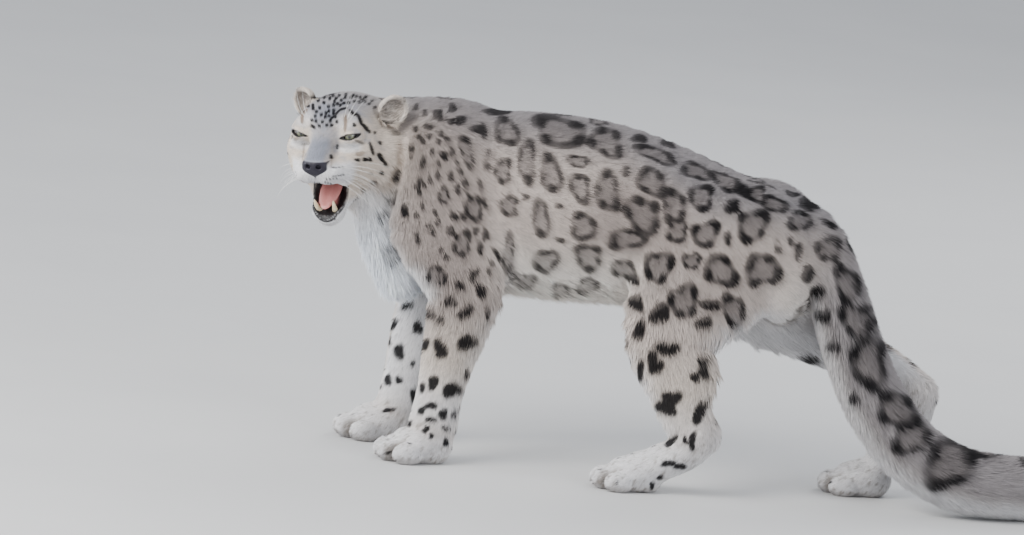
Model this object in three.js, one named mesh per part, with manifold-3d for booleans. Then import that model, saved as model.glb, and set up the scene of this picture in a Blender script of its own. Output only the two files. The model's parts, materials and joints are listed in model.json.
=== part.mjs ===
// Snow leopard, life size, standing with its head turned to its left and its mouth open.
// Millimetres. The animal faces -X, its left side faces -Y, and +Z is up. It stands on z = 0.
//
// The whole animal is one smooth field: a function of a point that is negative inside the coat
// and positive outside. Each sub-part is surfaced from that field by casting rays outwards from
// its own centre line, and neighbours are parted by thin plane cuts, so their faces meet.
import * as THREE from "three";
import { mergeVertices } from "three/addons/utils/BufferGeometryUtils.js";
import Module from "manifold-3d";

const wasm = await Module();
wasm.setup();
const { Manifold, Mesh: SolidMesh } = wasm;

// Gap that touching sub-parts keep.
const GAP = 0.3;
// A plane cut is made with a block this large.
const FAR = 2000;

// Trunk stations: x, y, z of the centre line, half width, half height.
const TRUNK = [
  [-196, -4, 418, 66, 84],
  [-140, -2, 424, 92, 136],
  [-60, 0, 418, 106, 145],
  [40, 0, 420, 114, 149],
  [130, 0, 420, 118, 145],
  [220, 0, 410, 113, 134],
  [310, 0, 398, 102, 118],
  [390, 0, 396, 88, 101],
  [440, 0, 396, 70, 80],
];
// Neck stations, from the withers to the skull, same columns.
const NECK = [
  [-120, 0, 466, 88, 98],
  [-180, 3, 474, 80, 92],
  [-232, -6, 479, 71, 85],
  [-270, -22, 485, 64, 74],
];
// Bib: the deep white fur down the front of the chest.
const BIB = [
  [-236, -26, 420, 62, 44],
  [-208, -10, 350, 68, 45],
  [-182, 0, 302, 74, 45],
];
// Tail stations, from the root to the tip, same columns.
const TAIL = [
  [430, 0, 425, 52, 60],
  [480, 0, 408, 50, 51],
  [522, -8, 338, 49, 50],
  [556, -17, 262, 51, 51],
  [600, -24, 180, 53, 53],
  [660, -26, 110, 54, 54],
  [734, -14, 68, 54, 54],
  [812, 18, 54, 53, 53],
  [884, 70, 52, 52, 52],
  [936, 140, 52, 51, 51],
  [962, 212, 60, 44, 44],
  [970, 262, 74, 30, 30],
];

// Leg stations, from the trunk to the ankle: x, y, z, half width across, half depth fore and aft.
const LEGS = {
  fore_left: [
    [-92, -62, 470, 44, 74],
    [-112, -80, 385, 50, 82],
    [-66, -88, 300, 46, 68],
    [-66, -88, 240, 43, 56],
    [-76, -88, 180, 38, 46],
    [-84, -88, 118, 34, 38],
    [-90, -88, 66, 36, 40],
  ],
  fore_right: [
    [-104, 62, 465, 44, 74],
    [-130, 78, 385, 50, 80],
    [-118, 84, 300, 45, 62],
    [-136, 82, 235, 41, 51],
    [-150, 80, 175, 37, 44],
    [-160, 78, 116, 33, 37],
    [-164, 76, 66, 35, 39],
  ],
  hind_left: [
    [360, -58, 440, 52, 84],
    [318, -76, 365, 62, 108],
    [286, -88, 300, 58, 94],
    [274, -98, 245, 50, 74],
    [296, -104, 192, 43, 65],
    [306, -108, 145, 37, 47],
    [330, -112, 104, 33, 40],
  ],
  hind_right: [
    [380, 58, 432, 50, 82],
    [372, 76, 356, 58, 100],
    [400, 86, 300, 52, 82],
    [462, 92, 266, 44, 60],
    [540, 96, 234, 36, 46],
    [612, 100, 200, 32, 40],
    [654, 102, 174, 32, 38],
  ],
};
// Lower hind legs, from the hock to the ball of the foot.
const HIND_FEET = {
  hind_left: [
    [338, -112, 98, 31, 36],
    [320, -113, 72, 32, 31],
    [284, -114, 50, 34, 30],
  ],
  hind_right: [
    [658, 102, 170, 31, 36],
    [650, 102, 120, 30, 33],
    [622, 102, 72, 33, 33],
  ],
};
// Paws: where the middle of the sole is, which way the toes point, and the size against the fore paw.
const PAWS = {
  fore_left: { at: [-108, -96], toes: [-0.93, -0.37], scale: 1 },
  fore_right: { at: [-196, 72], toes: [-0.95, -0.3], scale: 1 },
  hind_left: { at: [240, -118], toes: [-0.97, -0.24], scale: 0.94 },
  hind_right: { at: [584, 100], toes: [-0.99, -0.1], scale: 0.94 },
};

// Head: the point midway between the eyes, and the head's turn, nod and tilt in degrees.
const EYES_AT = [-304, -125, 514];
const HEAD_TURN = -102;
const HEAD_NOD = 6;
const HEAD_TILT = 4.5;
// In the head's own axes x runs to the nose, y to the left ear and z up, from inside the skull.
const EYE = { x: 56, y: 39, z: 20, radius: 17 };
const JAW_HINGE = [8, 0, -24];
const JAW_OPEN = 38;

const radians = (degrees) => (degrees * Math.PI) / 180;
const clamp = (v, low, high) => Math.min(high, Math.max(low, v));
const mix = (a, b, t) => a + (b - a) * t;

// Smooth union of two distances: they run together over a band of width k.
function melt(a, b, k) {
  const h = Math.max(k - Math.abs(a - b), 0) / k;
  return Math.min(a, b) - h * h * k * 0.25;
}

// Smooth cut: what is inside b is taken from a, with an edge rounded over k.
function carve(a, b, k) {
  return -melt(-a, b, k);
}

// Distance to an ellipsoid, measured along the line from its centre.
function ellipsoid([cx, cy, cz], [rx, ry, rz]) {
  return ([x, y, z]) => {
    const [ox, oy, oz] = [x - cx, y - cy, z - cz];
    const q = Math.hypot(ox / rx, oy / ry, oz / rz);
    return q < 1e-9 ? -Math.min(rx, ry, rz) : Math.hypot(ox, oy, oz) * (1 - 1 / q);
  };
}

// Points of a smooth curve through stations, with their sizes, a few to each span.
function smoothStations(stations, perSpan) {
  const points = [];
  const last = stations.length - 1;
  for (let i = 0; i < last; i++) {
    const [a, b, c, d] = [i - 1, i, i + 1, i + 2].map((n) => stations[clamp(n, 0, last)]);
    for (let s = 0; s < perSpan; s++) {
      const t = s / perSpan;
      points.push(b.map((v, n) => catmull(a[n], v, c[n], d[n], t)));
    }
  }
  points.push([...stations[last]]);
  return points;
}

function catmull(a, b, c, d, t) {
  return b + 0.5 * t * (c - a + t * (2 * a - 5 * b + 4 * c - d + t * (3 * (b - c) + d - a)));
}

// Distance to a limb: an elliptic section carried along a smooth curve. Across is the direction
// that the half width is measured in, squared up to the curve.
function limb(stations, across = [0, 1, 0], perSpan = 3) {
  const points = smoothStations(stations, perSpan);
  const spans = points.slice(1).map((b, i) => {
    const a = points[i];
    const along = [b[0] - a[0], b[1] - a[1], b[2] - a[2]];
    const length = Math.hypot(...along);
    const d = along.map((v) => v / length);
    const lean = dot(across, d);
    const side = unit(across.map((v, n) => v - lean * d[n]));
    return { a, b, d, length, side, up: cross(d, side) };
  });
  return ([x, y, z]) => {
    let best = Infinity;
    for (const { a, b, d, length, side, up } of spans) {
      const p = [x - a[0], y - a[1], z - a[2]];
      const run = dot(p, d);
      const t = clamp(run / length, 0, 1);
      const beyond = run - t * length;
      const [s, u] = [dot(p, side), dot(p, up)];
      const [rs, ru] = [mix(a[3], b[3], t), mix(a[4], b[4], t)];
      const q = Math.hypot(s / rs, u / ru, beyond / Math.min(rs, ru));
      const reach = Math.hypot(s, u, beyond);
      best = Math.min(best, q < 1e-9 ? -Math.min(rs, ru) : reach * (1 - 1 / q));
    }
    return best;
  };
}

function dot(a, b) {
  return a[0] * b[0] + a[1] * b[1] + a[2] * b[2];
}

function cross(a, b) {
  return [a[1] * b[2] - a[2] * b[1], a[2] * b[0] - a[0] * b[2], a[0] * b[1] - a[1] * b[0]];
}

function unit(v) {
  const length = Math.hypot(...v);
  return v.map((n) => n / length);
}

// A field that is only worked out near its own ball; further off the distance to the ball serves.
function near(centre, radius, field) {
  const margin = 60;
  return (p) => {
    const away = Math.hypot(p[0] - centre[0], p[1] - centre[1], p[2] - centre[2]) - radius;
    return away > margin ? away : field(p);
  };
}

// A field made of several that melt into one another.
function melted(fields, k) {
  return (p) => {
    let value = fields[0](p);
    for (let i = 1; i < fields.length; i++) value = melt(value, fields[i](p), k);
    return value;
  };
}

// Both sides of a shape that mirrors across the plane y = 0.
function pair(centre, radii) {
  return [ellipsoid(centre, radii), ellipsoid([centre[0], -centre[1], centre[2]], radii)];
}

// The head's own axes in the animal's frame, and points and fields moved between the two.
const headTurn = new THREE.Matrix4()
  .makeRotationZ(radians(HEAD_TURN))
  .multiply(new THREE.Matrix4().makeRotationY(radians(HEAD_NOD)))
  .multiply(new THREE.Matrix4().makeRotationX(radians(HEAD_TILT)));
const headFrame = new THREE.Matrix4()
  .makeTranslation(...EYES_AT)
  .multiply(headTurn)
  .multiply(new THREE.Matrix4().makeTranslation(-EYE.x, 0, -EYE.z));
const headInverse = headFrame.clone().invert();

function moved(matrix, p) {
  return new THREE.Vector3(...p).applyMatrix4(matrix).toArray();
}

function inFrame(inverse, field) {
  const e = inverse.elements;
  return ([x, y, z]) =>
    field([
      e[0] * x + e[4] * y + e[8] * z + e[12],
      e[1] * x + e[5] * y + e[9] * z + e[13],
      e[2] * x + e[6] * y + e[10] * z + e[14],
    ]);
}

// A point of the closed lower jaw, swung down to where the open jaw carries it.
function jawPoint([x, y, z]) {
  const [c, s] = [Math.cos(radians(JAW_OPEN)), Math.sin(radians(JAW_OPEN))];
  const [dx, dz] = [x - JAW_HINGE[0], z - JAW_HINGE[2]];
  return [JAW_HINGE[0] + dx * c + dz * s, y, JAW_HINGE[2] - dx * s + dz * c];
}

// Upper head in its own axes: skull, brow, nose, lids, whisker pads, cheeks and ruff.
function upperHead() {
  const skull = melted(
    [
      ellipsoid([-10, 0, 18], [72, 68, 50]),
      ellipsoid([32, 0, 30], [46, 48, 33]),
      ellipsoid([-52, 0, 0], [48, 60, 56]),
    ],
    24,
  );
  const cheeks = melted(
    [
      ...pair([40, 44, -8], [32, 26, 23]),
      ...pair([14, 46, -30], [43, 30, 39]),
      ellipsoid([-18, 68, -36], [34, 31, 52]),
      ellipsoid([-16, -54, -34], [38, 28, 48]),
    ],
    22,
  );
  const brow = melted(pair([54, 31, 36], [16, 18, 9]), 8);
  const bridge = limb([
    [44, 0, 24, 30, 20],
    [72, 0, 10, 20, 16],
    [96, 0, -8, 19, 14],
    [110, 0, -20, 18, 12],
  ]);
  const muzzle = melted(
    [
      ellipsoid([76, 0, -30], [36, 33, 26]),
      ...pair([93, 18, -37], [24, 21, 18]),
      ...pair([62, 34, -36], [28, 19, 27]),
    ],
    14,
  );
  const nose = ellipsoid([113, 0, -20], [10, 21, 11]);
  const lids = pair([EYE.x + 1, EYE.y, EYE.z - 1], Array(3).fill(EYE.radius + 3.4));
  return (p) => {
    let value = melt(skull(p), cheeks(p), 26);
    value = melt(value, brow(p), 14);
    value = melt(value, bridge(p), 16);
    value = melt(value, muzzle(p), 16);
    for (const lid of lids) value = melt(value, lid(p), 7);
    return melt(value, nose(p), 5);
  };
}

// Lower jaw in the head's axes, swung open.
function lowerJaw() {
  const jawBone = [-1, 1].map((side) =>
    limb(
      [
        [18, 36 * side, -50, 20, 26],
        [58, 22 * side, -58, 15, 19],
        [90, 12 * side, -60, 14, 15],
      ].map(([x, y, z, w, h]) => [...jawPoint([x, y, z]), w, h]),
    ),
  );
  const chin = ellipsoid(jawPoint([95, 0, -67]), [20, 25, 23]);
  const throat = limb([
    [...jawPoint([70, 0, -70]), 22, 14],
    [...jawPoint([34, 0, -72]), 38, 22],
    [-20, 0, -82, 54, 34],
  ]);
  return melted([...jawBone, chin, throat], 14);
}

// The open mouth, as the space that is taken out between palate and tongue.
const MOUTH = [
  [26, 0, -58, 20, 9],
  [46, 0, -67, 26, 18],
  [70, 0, -80, 28, 28],
  [104, 0, -98, 36, 44],
];
const mouthSpace = limb(MOUTH);

const upper = upperHead();
const jaw = lowerJaw();
const headCentre = moved(headFrame, [20, 0, -10]);
const headField = near(
  headCentre,
  170,
  inFrame(headInverse, (p) => carve(melt(upper(p), jaw(p), 18), mouthSpace(p), 6)),
);

// A paw: the ball of the foot, four toes and the low heel, in axes where x runs to the toes.
const TOES = [
  { x: 30, y: -37, z: 17, r: [25, 16, 19] },
  { x: 44, y: -13, z: 18, r: [27, 16, 20] },
  { x: 44, y: 13, z: 18, r: [27, 16, 20] },
  { x: 30, y: 37, z: 17, r: [25, 16, 19] },
];
const PAW_HEIGHT = 30;

function pawFrame({ at, toes, scale }) {
  const turn = Math.atan2(toes[1], toes[0]);
  return new THREE.Matrix4()
    .makeTranslation(at[0], at[1], 0)
    .multiply(new THREE.Matrix4().makeRotationZ(turn))
    .multiply(new THREE.Matrix4().makeScale(scale, scale, scale));
}

function pawField(paw) {
  const ball = melted(
    [
      ellipsoid([2, 0, 26], [46, 42, 33]),
      ellipsoid([-20, 0, 33], [34, 34, 37]),
    ],
    16,
  );
  const toes = melted(
    TOES.map(({ x, y, z, r }) => ellipsoid([x, y, z], r)),
    5,
  );
  const inverse = pawFrame(paw).invert();
  const shape = inFrame(inverse, (p) => melt(ball(p), toes(p), 12) * paw.scale);
  return near([paw.at[0], paw.at[1], PAW_HEIGHT], 100, shape);
}

// Muscles that show through the coat: centre, radii.
const MUSCLES = [
  [[-120, -66, 492], [62, 40, 66]],
  [[-128, 64, 488], [62, 40, 64]],
  [[-44, -92, 352], [44, 30, 58]],
  [[-84, 90, 350], [44, 30, 56]],
  [[376, -60, 430], [86, 48, 74]],
  [[392, 60, 424], [82, 48, 72]],
  [[420, -50, 360], [62, 44, 76]],
  [[440, 54, 352], [60, 44, 70]],
];

const trunkField = limb(TRUNK, [0, 1, 0], 4);
const neckField = limb(NECK, [0, 1, 0], 4);
const bibField = limb(BIB, [0, 1, 0], 3);
const tailField = limb(TAIL, [0, 1, 0], 3);
const legFields = Object.values(LEGS).map((stations) => limb(stations));
const footFields = Object.values(HIND_FEET).map((stations) => limb(stations));
const pawFields = Object.fromEntries(Object.entries(PAWS).map(([name, paw]) => [name, pawField(paw)]));
const muscleFields = MUSCLES.map(([centre, radii]) => ellipsoid(centre, radii));

// The whole animal, out to the tips of the coat.
function animal(p) {
  let value = melt(trunkField(p), neckField(p), 40);
  value = melt(value, bibField(p), 30);
  for (const muscle of muscleFields) value = melt(value, muscle(p), 26);
  for (const leg of legFields) value = melt(value, leg(p), 26);
  for (const foot of footFields) value = melt(value, foot(p), 14);
  for (const name in pawFields) value = melt(value, pawFields[name](p), 12);
  value = melt(value, tailField(p), 20);
  return melt(value, headField(p), 22);
}

// First distance from origin along direction where the field is no longer negative.
function cast(field, origin, direction, reach) {
  const step = 5;
  const at = (r) => field(origin.map((v, n) => v + direction[n] * r));
  let [inner, outer] = [0, step];
  while (outer < reach && at(outer) < 0) [inner, outer] = [outer, outer + step];
  if (outer >= reach) return reach;
  for (let i = 0; i < 12; i++) {
    const middle = (inner + outer) / 2;
    if (at(middle) < 0) inner = middle;
    else outer = middle;
  }
  return (inner + outer) / 2;
}

// A closed surface round a centre line. Rays fan out over the start, stand square to the line
// along it, and fan in again over the end. Rings counts the rings of each of the three. A ray
// ends where it leaves the coat or the zone, which is a little wider than the part that is kept.
function surface({ line, rings, sides, reach, zone = null, ...options }) {
  const { across = [0, 1, 0], along = null, field = animal, level = 0 } = options;
  const bounded = zone ? (p) => Math.max(field(p) - level, zone(p)) : (p) => field(p) - level;
  const curve = new THREE.CatmullRomCurve3(line.map((p) => new THREE.Vector3(...p)));
  const rows = [];
  const [startRings, lineRings, endRings] = rings;
  for (let i = 1; i <= startRings; i++) rows.push([0, (i / (startRings + 1) - 1) * 90]);
  for (let i = 0; i < lineRings; i++) rows.push([lineRings > 1 ? i / (lineRings - 1) : 0, 0]);
  for (let i = 1; i <= endRings; i++) rows.push([1, (i / (endRings + 1)) * 90]);
  const frameAt = (t) => {
    const forward = along ?? curve.getTangentAt(t).toArray();
    const side = unit(across.map((v, n) => v - dot(across, forward) * forward[n]));
    return { at: curve.getPointAt(t).toArray(), forward, side, up: cross(forward, side) };
  };
  const vertices = [];
  const rayEnd = ({ at, forward, side, up }, tilt, angle) => {
    const [c, s] = [Math.cos(radians(tilt)), Math.sin(radians(tilt))];
    const direction = forward.map(
      (v, n) => s * v + c * (Math.cos(angle) * side[n] + Math.sin(angle) * up[n]),
    );
    const r = cast(bounded, at, direction, reach);
    return at.map((v, n) => v + direction[n] * r);
  };
  for (const [t, tilt] of rows) {
    const frame = frameAt(t);
    for (let j = 0; j < sides; j++) vertices.push(rayEnd(frame, tilt, (2 * Math.PI * j) / sides));
  }
  const [first, last] = [frameAt(0), frameAt(1)];
  vertices.push(startRings ? rayEnd(first, -90, 0) : first.at);
  vertices.push(endRings ? rayEnd(last, 90, 0) : last.at);
  return solidFrom(vertices, ringFaces(rows.length, sides));
}

// Faces of rings of vertices joined in order, with a pole at each end.
function ringFaces(rows, sides) {
  const faces = [];
  const [start, end] = [rows * sides, rows * sides + 1];
  for (let j = 0; j < sides; j++) {
    const next = (j + 1) % sides;
    faces.push(start, next, j);
    for (let i = 0; i < rows - 1; i++) {
      const [a, b] = [i * sides + j, i * sides + next];
      faces.push(a, b, b + sides, a, b + sides, a + sides);
    }
    const row = (rows - 1) * sides;
    faces.push(end, row + j, row + next);
  }
  return faces;
}

function solidFrom(vertices, faces) {
  const build = (triVerts) =>
    new Manifold(new SolidMesh({ numProp: 3, vertProperties: new Float32Array(vertices.flat()), triVerts }));
  const made = build(new Uint32Array(faces));
  if (made.volume() > 0) return made;
  const turned = new Uint32Array(faces);
  for (let i = 0; i < turned.length; i += 3) [turned[i], turned[i + 1]] = [turned[i + 1], turned[i]];
  return build(turned);
}

// A three.js geometry as a solid, moved by a matrix.
function solidOf(geometry, matrix = new THREE.Matrix4()) {
  const plain = geometry.clone().applyMatrix4(matrix);
  plain.deleteAttribute("normal");
  plain.deleteAttribute("uv");
  const merged = mergeVertices(plain, 1e-3);
  const position = merged.attributes.position.array;
  const points = [];
  for (let i = 0; i < position.length; i += 3) points.push([...position.slice(i, i + 3)]);
  return solidFrom(points, [...merged.index.array]);
}

// The half space on the side that outward points to, moved outward by shift.
function halfSpace(point, outward, shift = 0) {
  const n = new THREE.Vector3(...outward).normalize();
  const turn = new THREE.Quaternion().setFromUnitVectors(new THREE.Vector3(0, 0, 1), n);
  const centre = new THREE.Vector3(...point).addScaledVector(n, shift + FAR / 2);
  const matrix = new THREE.Matrix4().compose(centre, turn, new THREE.Vector3(1, 1, 1));
  return solidOf(new THREE.BoxGeometry(FAR, FAR, FAR), matrix);
}

const HALF_GAP = GAP / 2;
// What lies beyond a cut is kept by one neighbour, and what lies before it by the other.
const beyond = (solid, cut) => solid.intersect(halfSpace(cut.at, cut.towards, HALF_GAP));
const before = (solid, cut) =>
  solid.intersect(halfSpace(cut.at, cut.towards.map((v) => -v), HALF_GAP));

// The largest closed surface of a solid, with scraps and sealed hollows dropped.
function largest(solid) {
  const parts = solid.decompose().sort((a, b) => b.volume() - a.volume());
  return parts[0];
}

const FLOOR = { at: [0, 0, 0], towards: [0, 0, 1] };
const onFloor = (solid) => solid.intersect(halfSpace(FLOOR.at, FLOOR.towards));

// Cuts that part the sub-parts. Each runs towards the part that is further from the trunk.
const headPoint = (p) => moved(headFrame, p);
const headLine = (points) => points.map(headPoint);
const headDirection = (v) => unit(headPoint(v).map((c, n) => c - headPoint([0, 0, 0])[n]));
const HEAD_ACROSS = headDirection([0, 1, 0]);

const CUTS = {
  neck: { at: [-196, -8, 460], towards: [-0.97, -0.2, 0.12] },
  head: { at: headPoint([-50, 0, 0]), towards: headDirection([0.84, -0.36, 0.42]) },
  tail: { at: [508, -5, 366], towards: [0.9, 0, -0.44] },
  tail_middle: { at: [570, -19, 236], towards: [0.46, -0.1, -0.88] },
  tail_lower: { at: [696, -22, 86], towards: [0.9, 0.12, -0.42] },
  tail_tip: { at: [884, 70, 52], towards: [0.67, 0.74, 0] },
  ankle_fore_left: { at: [0, 0, 70], towards: [0, 0, -1] },
  ankle_fore_right: { at: [0, 0, 70], towards: [0, 0, -1] },
  ankle_hind_left: { at: [342, -112, 112], towards: [0.35, 0, -0.94] },
  ankle_hind_right: { at: [646, 102, 184], towards: [0.6, 0, -0.8] },
};

// How far a surface is carried past the cut that ends it.
const MARGIN = 14;
const alongCut = (p, { at, towards }) => dot(p.map((v, n) => v - at[n]), unit(towards));
const beyondZone = (cut) => (p) => -alongCut(p, cut) - MARGIN;
const beforeZone = (cut) => (p) => alongCut(p, cut) - MARGIN;
const within = (...zones) => (p) => Math.max(...zones.map((zone) => zone(p)));

// Where a leg is set into the trunk: a round space at the shoulder or hip, as middle and radii,
// which runs into the space of the leg itself. The line that a leg is surfaced from starts at
// the points given here and goes on through the leg's stations.
const LEG_ROOTS = {
  fore_left: { room: [[-100, -122, 378], [94, 82, 96]], start: [[-108, -82, 380]], from: 2 },
  fore_right: { room: [[-116, 120, 376], [88, 80, 94]], start: [[-126, 79, 380]], from: 2 },
  hind_left: { room: [[312, -124, 368], [146, 86, 110]], start: [[318, -76, 365]], from: 2 },
  hind_right: {
    room: [[386, 122, 360], [130, 80, 110]],
    start: [[410, 86, 345], [456, 90, 290]],
    from: 4,
  },
};
const LEG_CLEAR = 12;
// Grown by this much, the faceted space of a leg clears the leg by the usual gap.
const LEG_GAP = 0.5;

function legLine(name) {
  const { start, from } = LEG_ROOTS[name];
  return [...start, ...LEGS[name].slice(from).map((s) => s.slice(0, 3))];
}

function legRoom(name) {
  const root = ellipsoid(...LEG_ROOTS[name].room);
  const leg = limb(LEGS[name].slice(2));
  return (p) => melt(root(p), leg(p) - LEG_CLEAR, 20);
}

// The space of a leg, made larger by grow for what has to clear it.
const legSpace = (name, grow) =>
  surface({
    line: legLine(name),
    rings: [4, 7, 3],
    sides: 18,
    reach: 260,
    field: legRoom(name),
    level: grow,
  });

function legZone(name) {
  const room = legRoom(name);
  return (p) => room(p) - 2 * MARGIN;
}

const LEG_NAMES = {
  fore_left: "foreleg_left",
  fore_right: "foreleg_right",
  hind_left: "hindleg_left",
  hind_right: "hindleg_right",
};
const FOOT_NAMES = {
  fore_left: "forepaw_left",
  fore_right: "forepaw_right",
  hind_left: "hindfoot_left",
  hind_right: "hindfoot_right",
};

const nodes = {};

// Long hair: flat tapered locks that lie back along the coat, with their tips lifted off it.
const LOCK_RISE = [-9, 1.5, 5, 7];
const LOCK_TAPER = [0.7, 1, 0.75];
const LOCK_FLATNESS = 0.3;

// Evenly spread numbers from 0 to 1 that come out the same each time.
function seeded(seed) {
  let state = seed;
  return () => {
    state = (state * 16807) % 2147483647;
    return state / 2147483647;
  };
}

function slopeAt(p) {
  const e = 2;
  const grow = (n, d) => p.map((v, m) => (m === n ? v + d : v));
  return unit([0, 1, 2].map((n) => animal(grow(n, e)) - animal(grow(n, -e))));
}

// A point moved in or out until the field there is the level asked for.
function atLevel(p, level) {
  let at = p;
  for (let i = 0; i < 4; i++) {
    const [slope, off] = [slopeAt(at), animal(at) - level];
    at = at.map((v, n) => v - slope[n] * off);
  }
  return at;
}

// One lock: a flat diamond section, narrowing to its tip, carried back along the coat from a root.
function lock(root, lie, length, width) {
  const rows = LOCK_RISE.map((rise, i) => {
    const run = (length * i) / (LOCK_RISE.length - 1);
    return atLevel(root.map((v, n) => v + lie[n] * run), rise);
  });
  const vertices = [];
  LOCK_TAPER.forEach((taper, i) => {
    const up = slopeAt(rows[i]);
    const forward = unit(rows[i + 1].map((v, n) => v - rows[i][n]));
    const side = unit(cross(up, forward));
    const out = cross(forward, side);
    const half = (width * taper) / 2;
    for (const [s, u] of [[1, 0], [0, LOCK_FLATNESS], [-1, 0], [0, -LOCK_FLATNESS]]) {
      vertices.push(rows[i].map((v, n) => v + half * (s * side[n] + u * out[n])));
    }
  });
  vertices.push(rows[0], rows[rows.length - 1]);
  return solidFrom(vertices, ringFaces(LOCK_TAPER.length, 4));
}

// Rows of locks. Each row has a line inside the body, the directions in which its locks stand off
// that line, the way that they lie, how many stand along the line, their length and their width.
const LOCK_ROWS = {
  trunk: [
    {
      line: [[20, 0, 400], [232, 0, 390]],
      out: [[0, -0.5, -1], [0, 0, -1], [0, 0.5, -1]],
      lie: [1, 0, -0.4],
      count: 5,
    },
    {
      line: [[10, 0, 400], [190, 0, 392]],
      out: [[0, -1.1, -1], [0, 1.1, -1]],
      lie: [1, 0, -0.5],
      count: 4,
    },
  ],
  neck: [
    {
      line: [[-222, -22, 430], [-214, -12, 350]],
      out: [[-1, -0.9, 0], [-1, 0, 0], [-1, 0.9, 0]],
      lie: [0.1, 0, -1],
      count: 3,
    },
  ],
  tail: [
    {
      line: [[530, -10, 320], [592, -22, 196]],
      out: [[0.3, -1, 0], [-1, -0.2, -0.4]],
      lie: [0.4, 0, -1],
      count: 3,
    },
    {
      line: [[604, -24, 172], [668, -25, 102]],
      out: [[0.3, -1, 0.2], [-0.8, 0, -0.7]],
      lie: [0.6, 0, -0.8],
      count: 2,
    },
    {
      line: [[704, -20, 80], [860, 46, 52]],
      out: [[0.1, -1, 0.1], [0.2, -0.4, 1]],
      lie: [0.95, 0.3, 0],
      count: 4,
    },
    {
      line: [[892, 78, 52], [960, 214, 60]],
      out: [[1, -0.5, 0.2], [-1, 0.4, 0.3]],
      lie: [0.4, 0.9, 0.05],
      count: 3,
    },
  ],
};
const LOCK = { length: 56, width: 32, vary: 0.25 };

// The locks of one part, grown from its rows and cast onto the coat.
function withLocks(solid, part, seed) {
  const draw = seeded(seed);
  const spread = (size) => size * (1 + LOCK.vary * (2 * draw() - 1));
  let whole = solid;
  for (const { line, out, lie, count } of LOCK_ROWS[part]) {
    out.forEach((direction, row) => {
      for (let i = 0; i < count; i++) {
        const t = (i + 0.5 + 0.25 * (row % 2) + 0.3 * (draw() - 0.5)) / count;
        const from = line[0].map((v, n) => mix(v, line[1][n], t));
        const ray = unit(direction);
        const reach = cast(animal, from, ray, 260);
        const root = from.map((v, n) => v + ray[n] * reach);
        const slope = slopeAt(root);
        const lean = dot(lie, slope);
        const flat = unit(lie.map((v, n) => v - lean * slope[n]));
        whole = whole.add(lock(root, flat, spread(LOCK.length), spread(LOCK.width)));
      }
    });
  }
  return whole;
}

// The jaw's own space: below the middle of the open mouth and in front of the cheek.
const JAW_SPACE = [
  { at: headPoint([36, 0, -63]), towards: headDirection([0.93, 0, -0.37]) },
  { at: headPoint([36, 0, -63]), towards: headDirection([-0.456, 0, -0.89]) },
];

function jawSpace(grow) {
  const [front, below] = JAW_SPACE.map(({ at, towards }) => halfSpace(at, towards, -grow));
  return front.intersect(below);
}

// The tail, and what has to clear it, where it is set into the rump.
const tailSurface = (clear) =>
  surface({
    line: TAIL.map((s) => s.slice(0, 3)),
    rings: [2, 22, 4],
    sides: 16,
    reach: 130,
    level: clear,
    zone: (p) => tailField(p) - 5 - clear,
  });
const tailClearance = tailSurface(GAP).intersect(halfSpace(CUTS.tail.at, CUTS.tail.towards, -HALF_GAP));

// Trunk, with the spaces of the four legs and of the tail taken out of it.
const BELLY_LIMIT = 244;

function makeTrunk() {
  let solid = surface({
    line: [[-170, 0, 430], [-60, 0, 430], [130, 0, 424], [300, 0, 408], [420, 0, 404]],
    rings: [4, 15, 5],
    sides: 24,
    reach: 300,
    zone: within(beforeZone(CUTS.neck), beforeZone(CUTS.tail), ([, , z]) => BELLY_LIMIT - z),
  });
  solid = before(before(withLocks(solid, "trunk", 11), CUTS.neck), CUTS.tail);
  for (const name of Object.keys(LEGS)) solid = solid.subtract(legSpace(name, LEG_GAP));
  return largest(solid);
}

function makeNeck() {
  const solid = surface({
    line: [[-232, -24, 500], [-232, -20, 440], [-222, -12, 366]],
    rings: [4, 7, 5],
    sides: 20,
    reach: 200,
    zone: within(beyondZone(CUTS.neck), beforeZone(CUTS.head)),
  });
  return largest(before(beyond(withLocks(solid, "neck", 5), CUTS.neck), CUTS.head));
}

// A leg down to the ankle.
function makeLeg(name) {
  const ankle = CUTS[`ankle_${name}`];
  const hind = name.startsWith("hind");
  const solid = surface({
    line: legLine(name),
    rings: hind ? [5, 11, 2] : [4, 10, 2],
    sides: hind ? 20 : 18,
    reach: 220,
    zone: within(legZone(name), beforeZone(ankle)),
  });
  const kept = before(before(solid.intersect(legSpace(name, 0)), ankle), CUTS.neck);
  return largest(kept.subtract(tailClearance));
}

// A fore paw, or a hind foot from the hock to the toes.
function makeFoot(name) {
  const paw = PAWS[name];
  const ankle = CUTS[`ankle_${name}`];
  const frame = pawFrame(paw);
  const pawLine = [moved(frame, [-14, 0, PAW_HEIGHT]), moved(frame, [26, 0, PAW_HEIGHT - 5])];
  const hock = (HIND_FEET[name] ?? []).map((s) => s.slice(0, 3));
  const across = moved(frame, [0, 1, 0]).map((v, n) => v - moved(frame, [0, 0, 0])[n]);
  const solid = surface({
    line: [...hock, ...pawLine],
    across: unit(across),
    rings: hock.length ? [4, 6, 6] : [3, 4, 6],
    sides: 16,
    reach: 90,
    zone: beyondZone(ankle),
  });
  return largest(onFloor(beyond(solid, ankle)));
}

function makeTail() {
  const rest = onFloor(beyond(withLocks(tailSurface(0), "tail", 8), CUTS.tail));
  nodes.tail_root = largest(before(rest, CUTS.tail_middle));
  nodes.tail_middle = largest(before(beyond(rest, CUTS.tail_middle), CUTS.tail_lower));
  nodes.tail_lower = largest(before(beyond(rest, CUTS.tail_lower), CUTS.tail_tip));
  nodes.tail_tip = largest(beyond(beyond(rest, CUTS.tail_lower), CUTS.tail_tip));
}

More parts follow.
